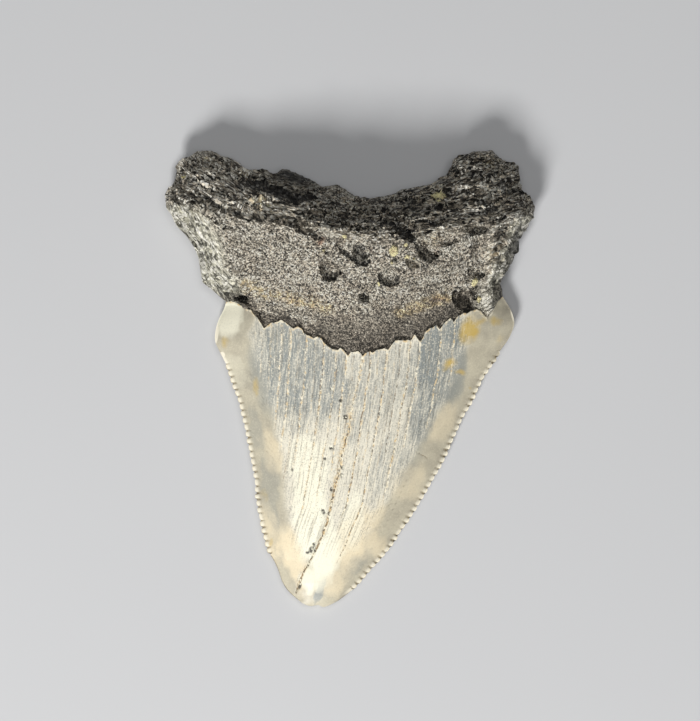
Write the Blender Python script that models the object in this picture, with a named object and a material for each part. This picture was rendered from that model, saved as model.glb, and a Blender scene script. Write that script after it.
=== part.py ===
"""Megalodon tooth, fossil, lying on its labial (flat) face with the lingual face up.

Sizes are in millimetres and become metres when the mesh is made. +X is to the right and +Y from
the tip towards the root, seen from above. The origin is the middle of the bounding box, on the
surface that the tooth lies on, which is Z = 0.

The tooth is one solid. Its lingual and labial faces meet along one outline, which is the rough rim
of the root above and the two serrated cutting edges of the crown below. Every height is a function
of the place in plan.
"""

import bpy
import numpy as np
from mathutils import Vector, geometry, noise

MM = 0.001

# Outline of the root, from the crown's right shoulder over the two lobes to its left shoulder.
ROOT_RIM = [
    (16.8, 9.0), (16.7, 9.8), (16.55, 10.45), (17.0, 11.3), (17.55, 12.4), (18.05, 13.4),
    (18.5, 14.3), (18.6, 15.1), (19.0, 15.8), (19.65, 16.85), (20.15, 17.8), (20.35, 18.9),
    (20.0, 19.85), (19.2, 20.45), (18.7, 21.1), (18.8, 22.3), (18.5, 23.25), (18.0, 23.75),
    (17.3, 23.8), (16.5, 24.1), (16.1, 24.65), (15.65, 25.1), (15.0, 24.95), (14.4, 25.1),
    (13.2, 24.9), (12.6, 24.55), (11.7, 24.3), (11.2, 23.8), (11.0, 23.05), (10.55, 22.45),
    (9.9, 22.0), (8.9, 21.45), (7.6, 21.1), (6.2, 20.8), (5.1, 20.4), (4.0, 20.05), (2.7, 19.85),
    (1.4, 19.9), (0.5, 20.1), (-0.2, 20.6), (-0.9, 21.05), (-1.8, 21.25), (-2.9, 21.1),
    (-3.55, 21.45), (-4.6, 21.95), (-5.45, 22.3), (-6.3, 22.75), (-7.4, 23.0), (-8.25, 22.4),
    (-9.2, 22.9), (-10.4, 22.85), (-11.4, 23.15), (-12.4, 23.8), (-13.5, 24.35), (-14.5, 24.7),
    (-15.3, 24.95), (-16.5, 24.95), (-17.2, 24.55), (-18.1, 24.2), (-18.85, 23.7), (-19.0, 22.85),
    (-19.1, 22.05), (-19.4, 21.5), (-19.9, 20.85), (-20.25, 20.2), (-20.2, 19.15), (-19.65, 18.0),
    (-18.85, 16.8), (-17.9, 15.8), (-17.15, 14.75), (-16.55, 13.9), (-16.45, 13.4),
    (-16.55, 12.7), (-16.35, 11.8), (-16.1, 10.65), (-15.2, 9.9), (-14.3, 9.0), (-13.6, 8.4),
]

# Cutting edges from the root down to the worn tip, and the tip from left to right.
LEFT_EDGE = [
    (-13.6, 8.4), (-13.85, 7.6), (-14.4, 6.5), (-14.75, 5.3), (-14.8, 4.1), (-14.3, 2.95),
    (-13.65, 1.65), (-13.15, 0.25), (-12.7, -1.1), (-12.15, -2.5), (-11.85, -3.8), (-11.5, -5.3),
    (-11.15, -7.0), (-10.75, -9.2), (-10.4, -11.0), (-10.25, -13.0), (-9.95, -15.0),
    (-9.5, -17.0), (-9.05, -18.8), (-8.35, -20.0), (-7.85, -21.1), (-7.4, -22.4), (-6.7, -23.45),
    (-5.75, -24.3),
]
TIP = [
    (-5.75, -24.3), (-5.1, -24.8), (-4.3, -25.05), (-3.5, -24.95), (-2.9, -25.15), (-2.2, -24.95),
    (-1.25, -24.45),
]
RIGHT_EDGE = [
    (16.8, 9.0), (17.4, 8.1), (17.9, 7.1), (18.1, 6.0), (17.8, 5.05), (17.35, 4.15),
    (16.75, 3.35), (16.1, 2.25), (15.3, 1.05), (14.5, -0.2), (13.85, -1.6), (13.2, -2.95),
    (12.4, -4.25), (11.7, -5.85), (10.95, -7.45), (10.25, -9.1), (9.2, -10.95), (8.4, -12.35),
    (7.4, -14.05), (6.4, -15.6), (5.4, -17.05), (4.4, -18.6), (3.3, -19.9), (2.1, -21.2),
    (1.05, -22.45), (-0.15, -23.6), (-1.25, -24.45),
]

# Chipped edge of the enamel on the lingual face, from left to right, and the arc that it follows.
ENAMEL_LINE = [
    (-13.6, 8.4), (-12.4, 8.3), (-11.7, 8.0), (-11.3, 7.6), (-10.8, 7.5), (-10.0, 6.5),
    (-9.4, 5.5), (-8.6, 6.1), (-7.6, 6.4), (-6.9, 6.0), (-6.2, 5.5), (-5.7, 5.7), (-5.1, 5.1),
    (-4.3, 4.55), (-3.5, 4.55), (-2.9, 3.9), (-1.9, 3.2), (-1.0, 3.4), (-0.2, 2.55), (0.3, 2.95),
    (0.9, 3.0), (1.4, 2.4), (2.2, 3.0), (3.8, 3.25), (4.2, 3.1), (5.0, 4.15), (6.7, 4.2),
    (7.1, 4.8), (7.7, 4.0), (8.3, 5.1), (9.4, 5.8), (9.9, 5.4), (10.3, 6.0), (11.1, 6.6),
    (11.4, 6.1), (12.0, 7.0), (13.9, 7.6), (14.5, 7.2), (15.1, 6.65), (15.7, 7.4), (16.2, 8.3),
    (16.8, 9.0),
]
ENAMEL_ARC = [
    (-13.6, 8.4), (-9.5, 6.1), (-5.0, 4.7), (0.0, 2.9), (4.0, 3.3), (8.0, 4.8), (12.0, 6.6),
    (16.8, 9.0),
]
LABIAL_ARC = [(-13.6, 8.4), (-8.0, 8.6), (0.0, 7.9), (8.0, 8.6), (16.8, 9.0)]
ENAMEL_STEP = 0.3
STEP_WIDTH = 0.18

# Serrations: pitch, height, and the part of each edge, as shares of its length, that keeps them.
PITCH = 0.78
HEIGHT = 0.2
LEFT_SERRATED = (0.21, 0.83)
RIGHT_SERRATED = (0.17, 0.95)

# Heights of the rim and of the crown's middle above the rim, by place from the tip to the root.
RIM_HEIGHT = [(-25.0, 0.9), (-10.0, 1.2), (8.0, 1.5), (11.0, 2.3), (25.0, 2.5)]
CROWN_RISE = [(-25.0, 0.6), (-22.5, 1.2), (-16.0, 2.2), (-6.0, 3.4), (3.0, 4.2), (9.0, 4.4)]
LABIAL_RISE = 1.75
# Thickness of the rim, and slope of each face of the cutting edge and how far in it goes.
RIM_THICKNESS = 0.2
EDGE_SLOPE = 0.35
EDGE_DEPTH = 0.6
TIP_ROUNDING = 1.5

# Ridge where the root's lingual face turns into the basal face: (x, y, height).
ROOT_RIDGE = [
    (-20.5, 19.6, 4.8), (-17.0, 19.0, 6.6), (-12.0, 17.7, 8.2), (-6.0, 16.6, 9.7),
    (0.0, 15.6, 10.6), (4.0, 15.2, 10.7), (8.0, 15.6, 10.1), (12.0, 16.4, 8.9), (17.0, 17.4, 7.0),
    (20.5, 18.6, 5.0),
]
BASAL_SHARE = 0.5
SHOULDER_OVERHANG = 2.3
ROUNDING = [(-20.0, 3.6), (-12.0, 3.0), (12.0, 2.8), (20.0, 2.4)]
LABIAL_ROUNDING = 1.5
LABIAL_HOLLOW = 0.75
# Flat spots that the two lobes rest on: (x, y, radius).
LOBE_PADS = [(-14.5, 18.5, 2.6), (14.5, 18.5, 2.6)]

# Ledges of the layered basal face: each drops by its depth on the root side of its line.
LEDGES = [
    (0.8, 2.2, [(-17.1, 19.7), (-15.1, 18.5), (-12.9, 18.05), (-8.8, 17.5), (-7.2, 17.0),
                (-5.4, 16.2), (-3.2, 15.3)]),
    (0.7, 1.6, [(-5.4, 17.8), (-2.6, 17.3), (-0.5, 17.0), (1.5, 17.4), (3.5, 17.1), (5.3, 16.8)]),
    (1.5, 1.3, [(-11.6, 21.4), (-9.7, 21.3), (-7.4, 20.3), (-5.7, 19.9), (-4.5, 19.65),
                (-2.6, 19.6)]),
    (0.6, 1.2, [(4.6, 19.2), (6.2, 19.4), (8.6, 19.2), (9.4, 18.5), (11.3, 18.6), (15.6, 19.1)]),
    (0.6, 1.5, [(12.2, 22.3), (14.5, 22.1), (16.0, 22.3), (18.2, 21.2)]),
]
LEDGE_WIDTH = 0.3

# Nutrient pits and hollows of the root: (x, y, half width, half height, depth, turn in degrees).
PITS = [
    (-2.15, 12.0, 0.85, 1.2, 0.9, 0), (1.2, 13.4, 1.1, 0.9, 0.9, 0), (8.6, 13.8, 1.1, 1.1, 1.2, 20),
    (10.8, 15.1, 1.7, 0.45, 0.6, 30), (6.2, 15.9, 1.4, 0.7, 0.8, -38), (4.3, 10.9, 1.1, 0.8, 0.7, 0),
    (12.5, 8.8, 0.75, 1.3, 1.3, 12), (13.7, 16.3, 1.3, 0.5, 0.8, -5), (14.0, 11.3, 0.9, 0.4, 0.8, 10),
    (1.6, 8.8, 0.5, 0.45, 0.6, 0), (-12.0, 8.7, 0.9, 0.35, 1.0, -5), (7.1, 12.4, 0.9, 0.4, 0.5, 0),
]

# Roughness of the root: size and height of its lumps, and of the layers along its basal face.
LUMP = (0.42, 0.3)
LAYER = (0.1, 1.1, 0.5)

# Spacing of the mesh's points.
CROWN_SPACING = 1.4
ROOT_SPACING = 0.66
LABIAL_SPACING = 1.25
LINE_SPACING = 0.42
SHAKE = 0.45
ROOT_RINGS = (0.12, 0.45, 1.0, 1.75)
CROWN_RINGS = (0.4, 1.1)


def curve(points, spacing):
    """Points evenly spaced along a smooth (Catmull-Rom) curve through the given ones."""
    first, last = 2 * np.array(points[0]) - points[1], 2 * np.array(points[-1]) - points[-2]
    knots = np.array([first, *points, last], float)
    t = np.linspace(0, 1, 12, endpoint=False)[:, None]
    spans = []
    for a, b, c, d in zip(knots, knots[1:], knots[2:], knots[3:]):
        bend = 2 * a - 5 * b + 4 * c - d + t * (3 * (b - c) + d - a)
        spans.append(b + 0.5 * t * (c - a + t * bend))
    dense = np.vstack([*spans, knots[-2]])
    return along(dense, np.linspace(0, 1, round(length(dense) / spacing) + 1))


def length(line):
    return np.hypot(*np.diff(line, axis=0).T).sum()


def along(line, shares):
    """Points of a polyline at these shares of its length."""
    steps = np.hypot(*np.diff(line, axis=0).T)
    at = np.concatenate([[0], np.cumsum(steps)]) / steps.sum()
    return np.column_stack([np.interp(shares, at, line[:, 0]), np.interp(shares, at, line[:, 1])])


def table(rows, at):
    """Value of a small table of (place, value) rows at these places."""
    places, values = np.array(rows).T
    return np.interp(at, places, values)


def smooth(x):
    x = np.clip(x, 0, 1)
    return x * x * (3 - 2 * x)


def rounded(share):
    """Rise of a quarter circle over its radius."""
    return np.sqrt(1 - (1 - np.clip(share, 0, 1)) ** 2)


def distance(points, line):
    """Distance of each point from a polyline."""
    start, way = line[:-1], np.diff(line, axis=0)
    off = points[:, None, :] - start
    t = np.clip((off * way).sum(2) / (way**2).sum(1), 0, 1)
    return np.linalg.norm(off - t[..., None] * way, axis=2).min(1)


def inside(points, loop):
    """Whether each point is inside a closed loop."""
    x, y = points[:, 0, None], points[:, 1, None]
    (x0, y0), (x1, y1) = loop.T, np.roll(loop, -1, axis=0).T
    crosses = (y0 > y) != (y1 > y)
    slope = (x1 - x0) / np.where(y1 == y0, 1.0, y1 - y0)
    return (crosses & (x < x0 + slope * (y - y0))).sum(1) % 2 == 1


def serrated(edge, run, outward):
    """A cutting edge with one rounded serration after another along its run."""
    first, last = run
    teeth = round((last - first) * length(edge) / PITCH)
    width = (last - first) / teeth
    shares, rise = [np.linspace(0, first, 10)[:-1]], [np.zeros(9)]
    for n in range(teeth):
        wear = 0.8 + 0.5 * noise.noise(Vector((n * 0.37, outward * 5.0, 0.0)))
        shares.append(first + width * (n + np.array([0.0, 0.28, 0.72])))
        rise.append(HEIGHT * wear * np.array([-0.4, 0.6, 0.6]))
    shares, rise = np.concatenate([*shares, np.linspace(last, 1, 7)]), np.concatenate([*rise, np.zeros(7)])
    way = along(edge, np.minimum(shares + 0.004, 1)) - along(edge, np.maximum(shares - 0.004, 0))
    normal = outward * np.column_stack([-way[:, 1], way[:, 0]]) / np.hypot(*way.T)[:, None]
    return along(edge, shares) + normal * rise[:, None]


def inset(line, depth, spacing, outline):
    """Points at this depth inside a stretch of the outline, leaving out those that corners crowd."""
    points = along(line, np.linspace(0, 1, round(length(line) / spacing) + 1)[1:-1])
    way = np.gradient(points, axis=0)
    side = np.column_stack([-way[:, 1], way[:, 0]]) / np.hypot(*way.T)[:, None]
    points = points + side * depth
    keep = inside(points, outline) & (distance(points, line) > 0.9 * depth)
    return points[keep]


def staggered(spacing):
    """Staggered grid over the whole tooth, shaken a little."""
    grid = []
    for n, y in enumerate(np.arange(-26, 26, spacing * 0.87)):
        for x in np.arange(-21, 21, spacing) + spacing * 0.5 * (n % 2):
            shake_x, shake_y = (noise.noise(Vector((x * 1.7, y * 1.7, seed))) for seed in (0.0, 7.3))
            grid.append((x + SHAKE * spacing * shake_x, y + SHAKE * spacing * shake_y))
    return np.array(grid)


def filled(line, spacing):
    """A polyline with points added, so that none are further apart than the spacing."""
    points = [line[:1]]
    for start, end in zip(line, line[1:]):
        count = int(np.ceil(np.hypot(*(end - start)) / spacing))
        points.append(start + (end - start) * np.linspace(0, 1, count + 1)[1:, None])
    return np.vstack(points)


def spread(groups, gaps):
    """Joins groups in turn, and drops each point that is within its group's gap of an earlier group."""
    kept = groups[0]
    for group, least in zip(groups[1:], gaps[1:]):
        far = np.hypot(*(group[:, None, :] - kept).transpose(2, 0, 1)).min(1) > least
        kept = np.vstack([kept, group[far]])
    return kept


class Shape:
    """Heights of both faces."""

    def __init__(self):
        self.rim = curve(ROOT_RIM, 0.62)
        self.left, self.right = curve(LEFT_EDGE, 0.1), curve(RIGHT_EDGE, 0.1)
        self.tip = curve(TIP, 0.45)
        self.blade = np.vstack([self.left, self.tip[1:-1], self.right[::-1]])

    def crown_share(self, x, y):
        """Share of the way from the left cutting edge to the right one, at this height in plan."""
        left, right = (np.interp(y, *side[::-1, ::-1].T) for side in (self.left, self.right))
        return np.clip((x - left) / np.maximum(right - left, 0.1), 0, 1)

    def crown(self, x, y):
        """Heights of the enamel's lingual and labial faces."""
        rim = table(RIM_HEIGHT, y)
        bulge = (1 - np.abs(2 * self.crown_share(x, y) - 1) ** 2.4) ** 0.9
        bulge *= rounded((y - self.tip[:, 1].min()) / TIP_ROUNDING)
        least = EDGE_SLOPE * np.minimum(distance(np.column_stack([x, y]), self.blade), EDGE_DEPTH)
        lingual = rim + np.maximum(table(CROWN_RISE, y) * bulge, least)
        return lingual, np.maximum(rim - np.maximum(LABIAL_RISE * bulge, least), 0)

    def root(self, x, y):
        """Heights of the root's lingual and labial faces, before roughness."""
        place = np.column_stack([x, y])
        depth = distance(place, self.rim)
        rim = table(RIM_HEIGHT, y)
        ridge_x, ridge_y, ridge_z = np.array(ROOT_RIDGE).T
        ridge_at, ridge = np.interp(x, ridge_x, ridge_y), np.interp(x, ridge_x, ridge_z)
        line_at = table(ENAMEL_ARC, x)
        shoulder = smooth((-10.4 - x) / 2.2) + smooth((x - 13.8) / 2.0)
        line = self.crown(x, line_at)[0] - ENAMEL_STEP + SHOULDER_OVERHANG * shoulder
        climb = smooth((y - line_at) / (ridge_at - line_at))
        fall = np.clip((y - ridge_at) / np.maximum(y - ridge_at + depth, 0.01), 0, 1) ** 1.5
        lingual = (line + (ridge - line) * climb) * (1 - (1 - BASAL_SHARE) * fall)
        lingual = rim + (lingual - rim) * rounded(depth / table(ROUNDING, x))
        labial = 0.25 + LABIAL_HOLLOW * np.exp(-((x / 9) ** 2)) * smooth((y - 8) / 5)
        labial = rim + (labial - rim) * rounded(depth / LABIAL_ROUNDING)
        for pad_x, pad_y, radius in LOBE_PADS:
            labial *= smooth(np.hypot(x - pad_x, y - pad_y) / radius - 1)
        return lingual, labial

    def relief(self, x, y):
        """Height that ledges, pits, layers and lumps add to the root's lingual and basal faces."""
        added = np.zeros_like(x)
        for drop, recovery, line in LEDGES:
            line_x, line_y = np.array(line).T
            past = y - np.interp(x, line_x, line_y)
            ends = smooth((x - line_x[0]) / 1.5) * smooth((line_x[-1] - x) / 1.5)
            fallen = np.clip(past / LEDGE_WIDTH, 0, 1) * (1 - smooth((past - LEDGE_WIDTH) / recovery))
            added -= drop * ends * fallen
        for pit_x, pit_y, half_width, half_height, depth, turn in PITS:
            c, s = np.cos(np.radians(turn)), np.sin(np.radians(turn))
            dx, dy = x - pit_x, y - pit_y
            r = np.hypot((dx * c + dy * s) / half_width, (dy * c - dx * s) / half_height)
            added -= depth * (1 - smooth(r - 0.2))
        basal = smooth((y - np.interp(x, *np.array(ROOT_RIDGE).T[:2])) / 1.5)
        wide, high, layer_height = LAYER
        size, lump_height = LUMP
        for k, (px, py) in enumerate(zip(x, y)):
            layer = noise.noise(Vector((px * wide, py * high, 3.0)))
            lump = noise.fractal(Vector((px, py, 0)) * size, 1.0, 2.0, 3)
            added[k] += layer_height * layer * basal[k] + lump_height * lump
        return added


def outline_of(shape):
    """Closed outline, from the left shoulder down to the tip, up to the right shoulder and round."""
    left = serrated(shape.left, LEFT_SERRATED, -1)
    right = serrated(shape.right, RIGHT_SERRATED, 1)[::-1]
    return np.vstack([left, shape.tip[1:-1], right, shape.rim[1:-1]])


def is_root(x, y, line):
    """Whether each place is on the root side of the enamel's edge."""
    return y > np.interp(x, line[:, 0], line[:, 1]) + 0.5 * STEP_WIDTH


def face_points(shape, outline, line, ledges, spacings):
    """Inner points of one face: its enamel edge and ledges, rings inside the outline, and fill."""
    crown_spacing, root_spacing = spacings
    groups = [line[1:-1], line[1:-1] + (0, STEP_WIDTH)]
    gaps = [0, 0.05]
    for edge in ledges:
        groups += [edge, edge + (0, LEDGE_WIDTH)]
        gaps += [0.2, 0.2]
    groups += [line[1:-1] - (0, 0.45), line[1:-1] + (0, 0.55)]
    gaps += [0.3, 0.3]
    for depth in ROOT_RINGS:
        groups.append(inset(shape.rim, depth, max(0.7, root_spacing), outline))
        gaps.append(min(0.35, depth * 0.9))
    for depth in CROWN_RINGS:
        for side in (shape.left, shape.right[::-1]):
            groups.append(inset(side, depth, max(PITCH, depth), outline))
            gaps.append(0.35)
    for spacing, on_root in ((root_spacing, True), (crown_spacing, False)):
        fill = staggered(spacing)
        fill = fill[inside(fill, outline)]
        fill = fill[is_root(*fill.T, line) == on_root]
        groups.append(fill[distance(fill, outline) > 0.5 * spacing])
        gaps.append(0.55 * spacing)
    points = spread(groups, gaps)
    return points[inside(points, outline) & (distance(points, outline) > 0.1)]


def triangulate(points, outline_count):
    loop = [(k, (k + 1) % outline_count) for k in range(outline_count)]
    found = geometry.delaunay_2d_cdt([Vector(p) for p in points], loop, [], 1, 1e-6)
    source = [origin[0] for origin in found[3]]
    return [tuple(source[k] for k in face) for face in found[2]]


def make_tooth():
    shape = Shape()
    outline = outline_of(shape)
    line, labial_line = filled(np.array(ENAMEL_LINE), LINE_SPACING), curve(LABIAL_ARC, 1.0)
    ledges = [filled(np.array(line), LINE_SPACING) for _, _, line in LEDGES]
    count = len(outline)

    inner = face_points(shape, outline, line, ledges, (CROWN_SPACING, ROOT_SPACING))
    upper = np.vstack([outline, inner])
    x, y = upper.T
    crown, root = shape.crown(x, y)[0], shape.root(x, y)[0] + shape.relief(x, y)
    top = np.where(is_root(x, y, line), root, crown)
    top[:count] = table(RIM_HEIGHT, outline[:, 1]) + RIM_THICKNESS / 2

    inner = face_points(shape, outline, labial_line, [], (2 * CROWN_SPACING, LABIAL_SPACING))
    lower = np.vstack([outline, inner])
    x, y = lower.T
    crown, root = shape.crown(x, y)[1], shape.root(x, y)[1]
    bottom = np.where(is_root(x, y, labial_line), root, crown)
    bottom[:count] = top[:count] - RIM_THICKNESS

    points = np.vstack([np.column_stack([upper, top]), np.column_stack([lower, bottom])])
    centre = (points.max(0) + points.min(0)) / 2
    points -= (centre[0], centre[1], points[:, 2].min())

    first = len(upper)
    faces = triangulate(upper, count)
    faces += [[first + k for k in reversed(face)] for face in triangulate(lower, count)]
    for a in range(count):
        b = (a + 1) % count
        faces.append((a, first + a, first + b, b))
    mesh = bpy.data.meshes.new("tooth")
    mesh.from_pydata((points * MM).tolist(), [], faces)
    tooth = bpy.data.objects.new("tooth", mesh)
    bpy.context.scene.collection.objects.link(tooth)
    return tooth


def give_material(tooth):
    """Fossil enamel and bone, dull and stony."""
    material = bpy.data.materials.new("fossil")
    material.use_nodes = True
    surface = material.node_tree.nodes["Principled BSDF"]
    surface.inputs["Base Color"].default_value = (0.30, 0.28, 0.24, 1)
    surface.inputs["Roughness"].default_value = 0.6
    surface.inputs["Metallic"].default_value = 0.0
    tooth.data.materials.append(material)


def main():
    for old in list(bpy.data.objects):
        bpy.data.objects.remove(old)
    give_material(make_tooth())


main()
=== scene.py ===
"""Looks of the megalodon tooth: a shell of enamel over the crown and a shell of stony bone over the root.

Sizes are in millimetres until a mesh is made, in the same places as the CAD part's values: +X to the
right, +Y from the tip towards the root, +Z up from the surface that the tooth lies on.
"""

import math
import bmesh  # noqa: E402
import bpy  # noqa: E402
import numpy as np  # noqa: E402
from bpy.props import FloatProperty, FloatVectorProperty, PointerProperty  # noqa: E402
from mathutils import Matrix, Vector, noise  # noqa: E402

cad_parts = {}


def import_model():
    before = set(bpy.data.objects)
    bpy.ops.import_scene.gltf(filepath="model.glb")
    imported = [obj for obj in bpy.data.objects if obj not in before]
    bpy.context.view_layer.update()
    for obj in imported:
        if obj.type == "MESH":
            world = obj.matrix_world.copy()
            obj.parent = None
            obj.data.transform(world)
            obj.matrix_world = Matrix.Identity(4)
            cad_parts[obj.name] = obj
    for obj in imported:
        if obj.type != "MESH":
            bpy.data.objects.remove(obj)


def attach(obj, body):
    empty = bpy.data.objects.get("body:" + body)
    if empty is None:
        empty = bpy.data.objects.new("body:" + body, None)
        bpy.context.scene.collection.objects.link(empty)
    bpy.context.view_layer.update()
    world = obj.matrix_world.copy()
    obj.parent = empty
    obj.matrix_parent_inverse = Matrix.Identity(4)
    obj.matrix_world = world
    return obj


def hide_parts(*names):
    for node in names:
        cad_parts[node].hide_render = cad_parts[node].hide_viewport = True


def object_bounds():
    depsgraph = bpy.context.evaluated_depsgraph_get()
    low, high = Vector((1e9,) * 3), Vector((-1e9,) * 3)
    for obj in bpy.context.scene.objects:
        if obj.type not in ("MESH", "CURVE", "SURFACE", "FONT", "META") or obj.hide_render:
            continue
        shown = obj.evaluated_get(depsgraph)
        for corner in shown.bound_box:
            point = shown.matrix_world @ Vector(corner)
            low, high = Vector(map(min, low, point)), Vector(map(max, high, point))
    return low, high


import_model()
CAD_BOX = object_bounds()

bl_info = {
    "name": "Fossil tooth",
    "version": (1, 0, 0),
    "blender": (4, 5, 0),
    "location": "3D View > Sidebar > Fossil",
    "description": "Builds the enamel, the bony root and the stage of a fossil shark tooth",
    "category": "Object",
}

MM = 0.001
SOLID = "tooth"
BODY = "root"

# ---------------------------------------------------------------- outline, as in the CAD part

# Middle of the outline's box in the values below, which becomes X = Y = 0.
PLAN_CENTRE = (0.032, -0.038)

# Rim of the root from its left shoulder round the left lobe, across the saddle to the right shoulder.
LEFT_FLANK = [
    (-13.6, 8.4), (-14.3, 9.0), (-15.2, 9.9), (-16.1, 10.65), (-16.35, 11.8), (-16.55, 12.7),
    (-16.45, 13.4), (-16.55, 13.9), (-17.15, 14.75), (-17.9, 15.8), (-18.85, 16.8), (-19.65, 18.0),
    (-20.2, 19.15), (-20.25, 20.2),
]
UPPER_RIM = [
    (-20.25, 20.2), (-19.9, 20.85), (-19.4, 21.5), (-19.1, 22.05), (-19.0, 22.85), (-18.85, 23.7),
    (-18.1, 24.2), (-17.2, 24.55), (-16.5, 24.95), (-15.3, 24.95), (-14.5, 24.7), (-13.5, 24.35),
    (-12.4, 23.8), (-11.4, 23.15), (-10.4, 22.85), (-9.2, 22.9), (-8.25, 22.4), (-7.4, 23.0),
    (-6.3, 22.75), (-5.45, 22.3), (-4.6, 21.95), (-3.55, 21.45), (-2.9, 21.1), (-1.8, 21.25),
    (-0.9, 21.05), (-0.2, 20.6), (0.5, 20.1), (1.4, 19.9), (2.7, 19.85), (4.0, 20.05), (5.1, 20.4),
    (6.2, 20.8), (7.6, 21.1), (8.9, 21.45), (9.9, 22.0), (10.55, 22.45), (11.0, 23.05),
    (11.2, 23.8), (11.7, 24.3), (12.6, 24.55), (13.2, 24.9), (14.4, 25.1), (15.0, 24.95),
    (15.65, 25.1), (16.1, 24.65), (16.5, 24.1), (17.3, 23.8), (18.0, 23.75), (18.5, 23.25),
    (18.8, 22.3), (18.7, 21.1), (19.2, 20.45), (20.0, 19.85), (20.35, 18.9),
]
RIGHT_FLANK = [
    (16.8, 9.0), (16.7, 9.8), (16.55, 10.45), (17.0, 11.3), (17.55, 12.4), (18.05, 13.4),
    (18.5, 14.3), (18.6, 15.1), (19.0, 15.8), (19.65, 16.85), (20.15, 17.8), (20.35, 18.9),
]

# Cutting edges from the root down to the worn tip, and the tip from left to right.
LEFT_EDGE = [
    (-13.6, 8.4), (-13.85, 7.6), (-14.4, 6.5), (-14.75, 5.3), (-14.8, 4.1), (-14.3, 2.95),
    (-13.65, 1.65), (-13.15, 0.25), (-12.7, -1.1), (-12.15, -2.5), (-11.85, -3.8), (-11.5, -5.3),
    (-11.15, -7.0), (-10.75, -9.2), (-10.4, -11.0), (-10.25, -13.0), (-9.95, -15.0),
    (-9.5, -17.0), (-9.05, -18.8), (-8.35, -20.0), (-7.85, -21.1), (-7.4, -22.4), (-6.7, -23.45),
    (-5.75, -24.3),
]
TIP = [
    (-5.75, -24.3), (-5.1, -24.8), (-4.3, -25.05), (-3.5, -24.95), (-2.9, -25.15), (-2.2, -24.95),
    (-1.25, -24.45),
]
RIGHT_EDGE = [
    (16.8, 9.0), (17.4, 8.1), (17.9, 7.1), (18.1, 6.0), (17.8, 5.05), (17.35, 4.15),
    (16.75, 3.35), (16.1, 2.25), (15.3, 1.05), (14.5, -0.2), (13.85, -1.6), (13.2, -2.95),
    (12.4, -4.25), (11.7, -5.85), (10.95, -7.45), (10.25, -9.1), (9.2, -10.95), (8.4, -12.35),
    (7.4, -14.05), (6.4, -15.6), (5.4, -17.05), (4.4, -18.6), (3.3, -19.9), (2.1, -21.2),
    (1.05, -22.45), (-0.15, -23.6), (-1.25, -24.45),
]

# Chipped upper edge of the enamel from left to right: lobes between the notches of the cracks.
ENAMEL_LINE = [
    (-13.6, 8.4), (-13.0, 8.5), (-12.4, 8.3), (-11.9, 8.0), (-11.55, 7.9), (-11.3, 7.6),
    (-10.8, 7.5), (-10.5, 7.0), (-10.0, 6.5), (-9.7, 6.0), (-9.4, 5.5), (-9.0, 5.8), (-8.6, 6.1),
    (-8.0, 6.2), (-7.6, 6.4), (-7.1, 6.2), (-6.6, 5.8), (-6.2, 5.45), (-5.7, 5.7), (-5.2, 5.45),
    (-5.05, 5.0), (-4.8, 4.8), (-4.3, 4.6), (-3.9, 4.4), (-3.5, 4.6), (-3.1, 4.4), (-2.9, 4.0),
    (-2.5, 3.6), (-1.9, 3.2), (-1.3, 3.1), (-1.0, 3.4), (-0.7, 3.1), (-0.2, 2.5), (0.1, 2.85),
    (0.9, 3.0), (1.2, 2.8), (1.4, 2.4), (1.7, 2.75), (2.2, 3.0), (2.5, 2.8), (2.9, 3.1),
    (3.8, 3.3), (4.2, 3.1), (4.6, 3.7), (5.0, 4.15), (5.6, 4.2), (6.1, 4.15), (6.7, 4.2),
    (7.1, 4.8), (7.5, 4.3), (7.7, 4.0), (8.1, 4.6), (8.3, 5.1), (8.8, 5.5), (9.5, 5.8),
    (9.9, 5.4), (10.3, 6.0), (11.0, 6.6), (11.25, 6.5), (11.4, 6.1), (11.8, 6.8), (12.4, 7.1),
    (13.0, 7.2), (13.4, 7.4), (13.9, 7.6), (14.2, 7.5), (14.5, 7.2), (15.1, 6.65), (15.7, 7.4),
    (16.0, 8.0), (16.3, 8.45), (16.8, 9.0),
]
# The same edge without its lobes, the edge on the labial face, and the step down to the bone.
ENAMEL_ARC = [
    (-13.6, 8.4), (-9.5, 6.1), (-5.0, 4.7), (0.0, 2.9), (4.0, 3.3), (8.0, 4.8), (12.0, 6.6),
    (16.8, 9.0),
]
LABIAL_ARC = [(-13.6, 8.4), (-8.0, 8.6), (0.0, 7.9), (8.0, 8.6), (16.8, 9.0)]
ENAMEL_STEP = 0.3

# Serrations: their pitch and the part of each edge, as shares of its length, that keeps them.
PITCH = 0.78
LEFT_SERRATED = (0.21, 0.83)
RIGHT_SERRATED = (0.17, 0.95)
# Rows of points to a serration, and how far in the notches between serrations reach.
BEAD_ROWS = 6
NOTCH_REACH = 0.75

# ---------------------------------------------------------------- heights, as in the CAD part

# Heights of the rim and of the crown's middle above the rim, by place from the tip to the root.
RIM_HEIGHT = [(-25.0, 0.9), (-10.0, 1.2), (8.0, 1.5), (11.0, 2.3), (25.0, 2.5)]
CROWN_RISE = [(-25.0, 0.6), (-22.5, 1.2), (-16.0, 2.2), (-6.0, 3.4), (3.0, 4.2), (9.0, 4.4)]
# How far the labial face bulges down from the rim.
LABIAL_RISE = 1.75
# Powers of the curve that the crown bulges in from edge to edge.
BULGE = (2.4, 0.9)
# Thickness of the rim, and slope of each face of the cutting edge and how far in it goes.
RIM_THICKNESS = 0.2
EDGE_SLOPE = 0.35
EDGE_DEPTH = 0.6
# How far from the tip the crown reaches its full bulge.
TIP_ROUNDING = 1.5

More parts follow.
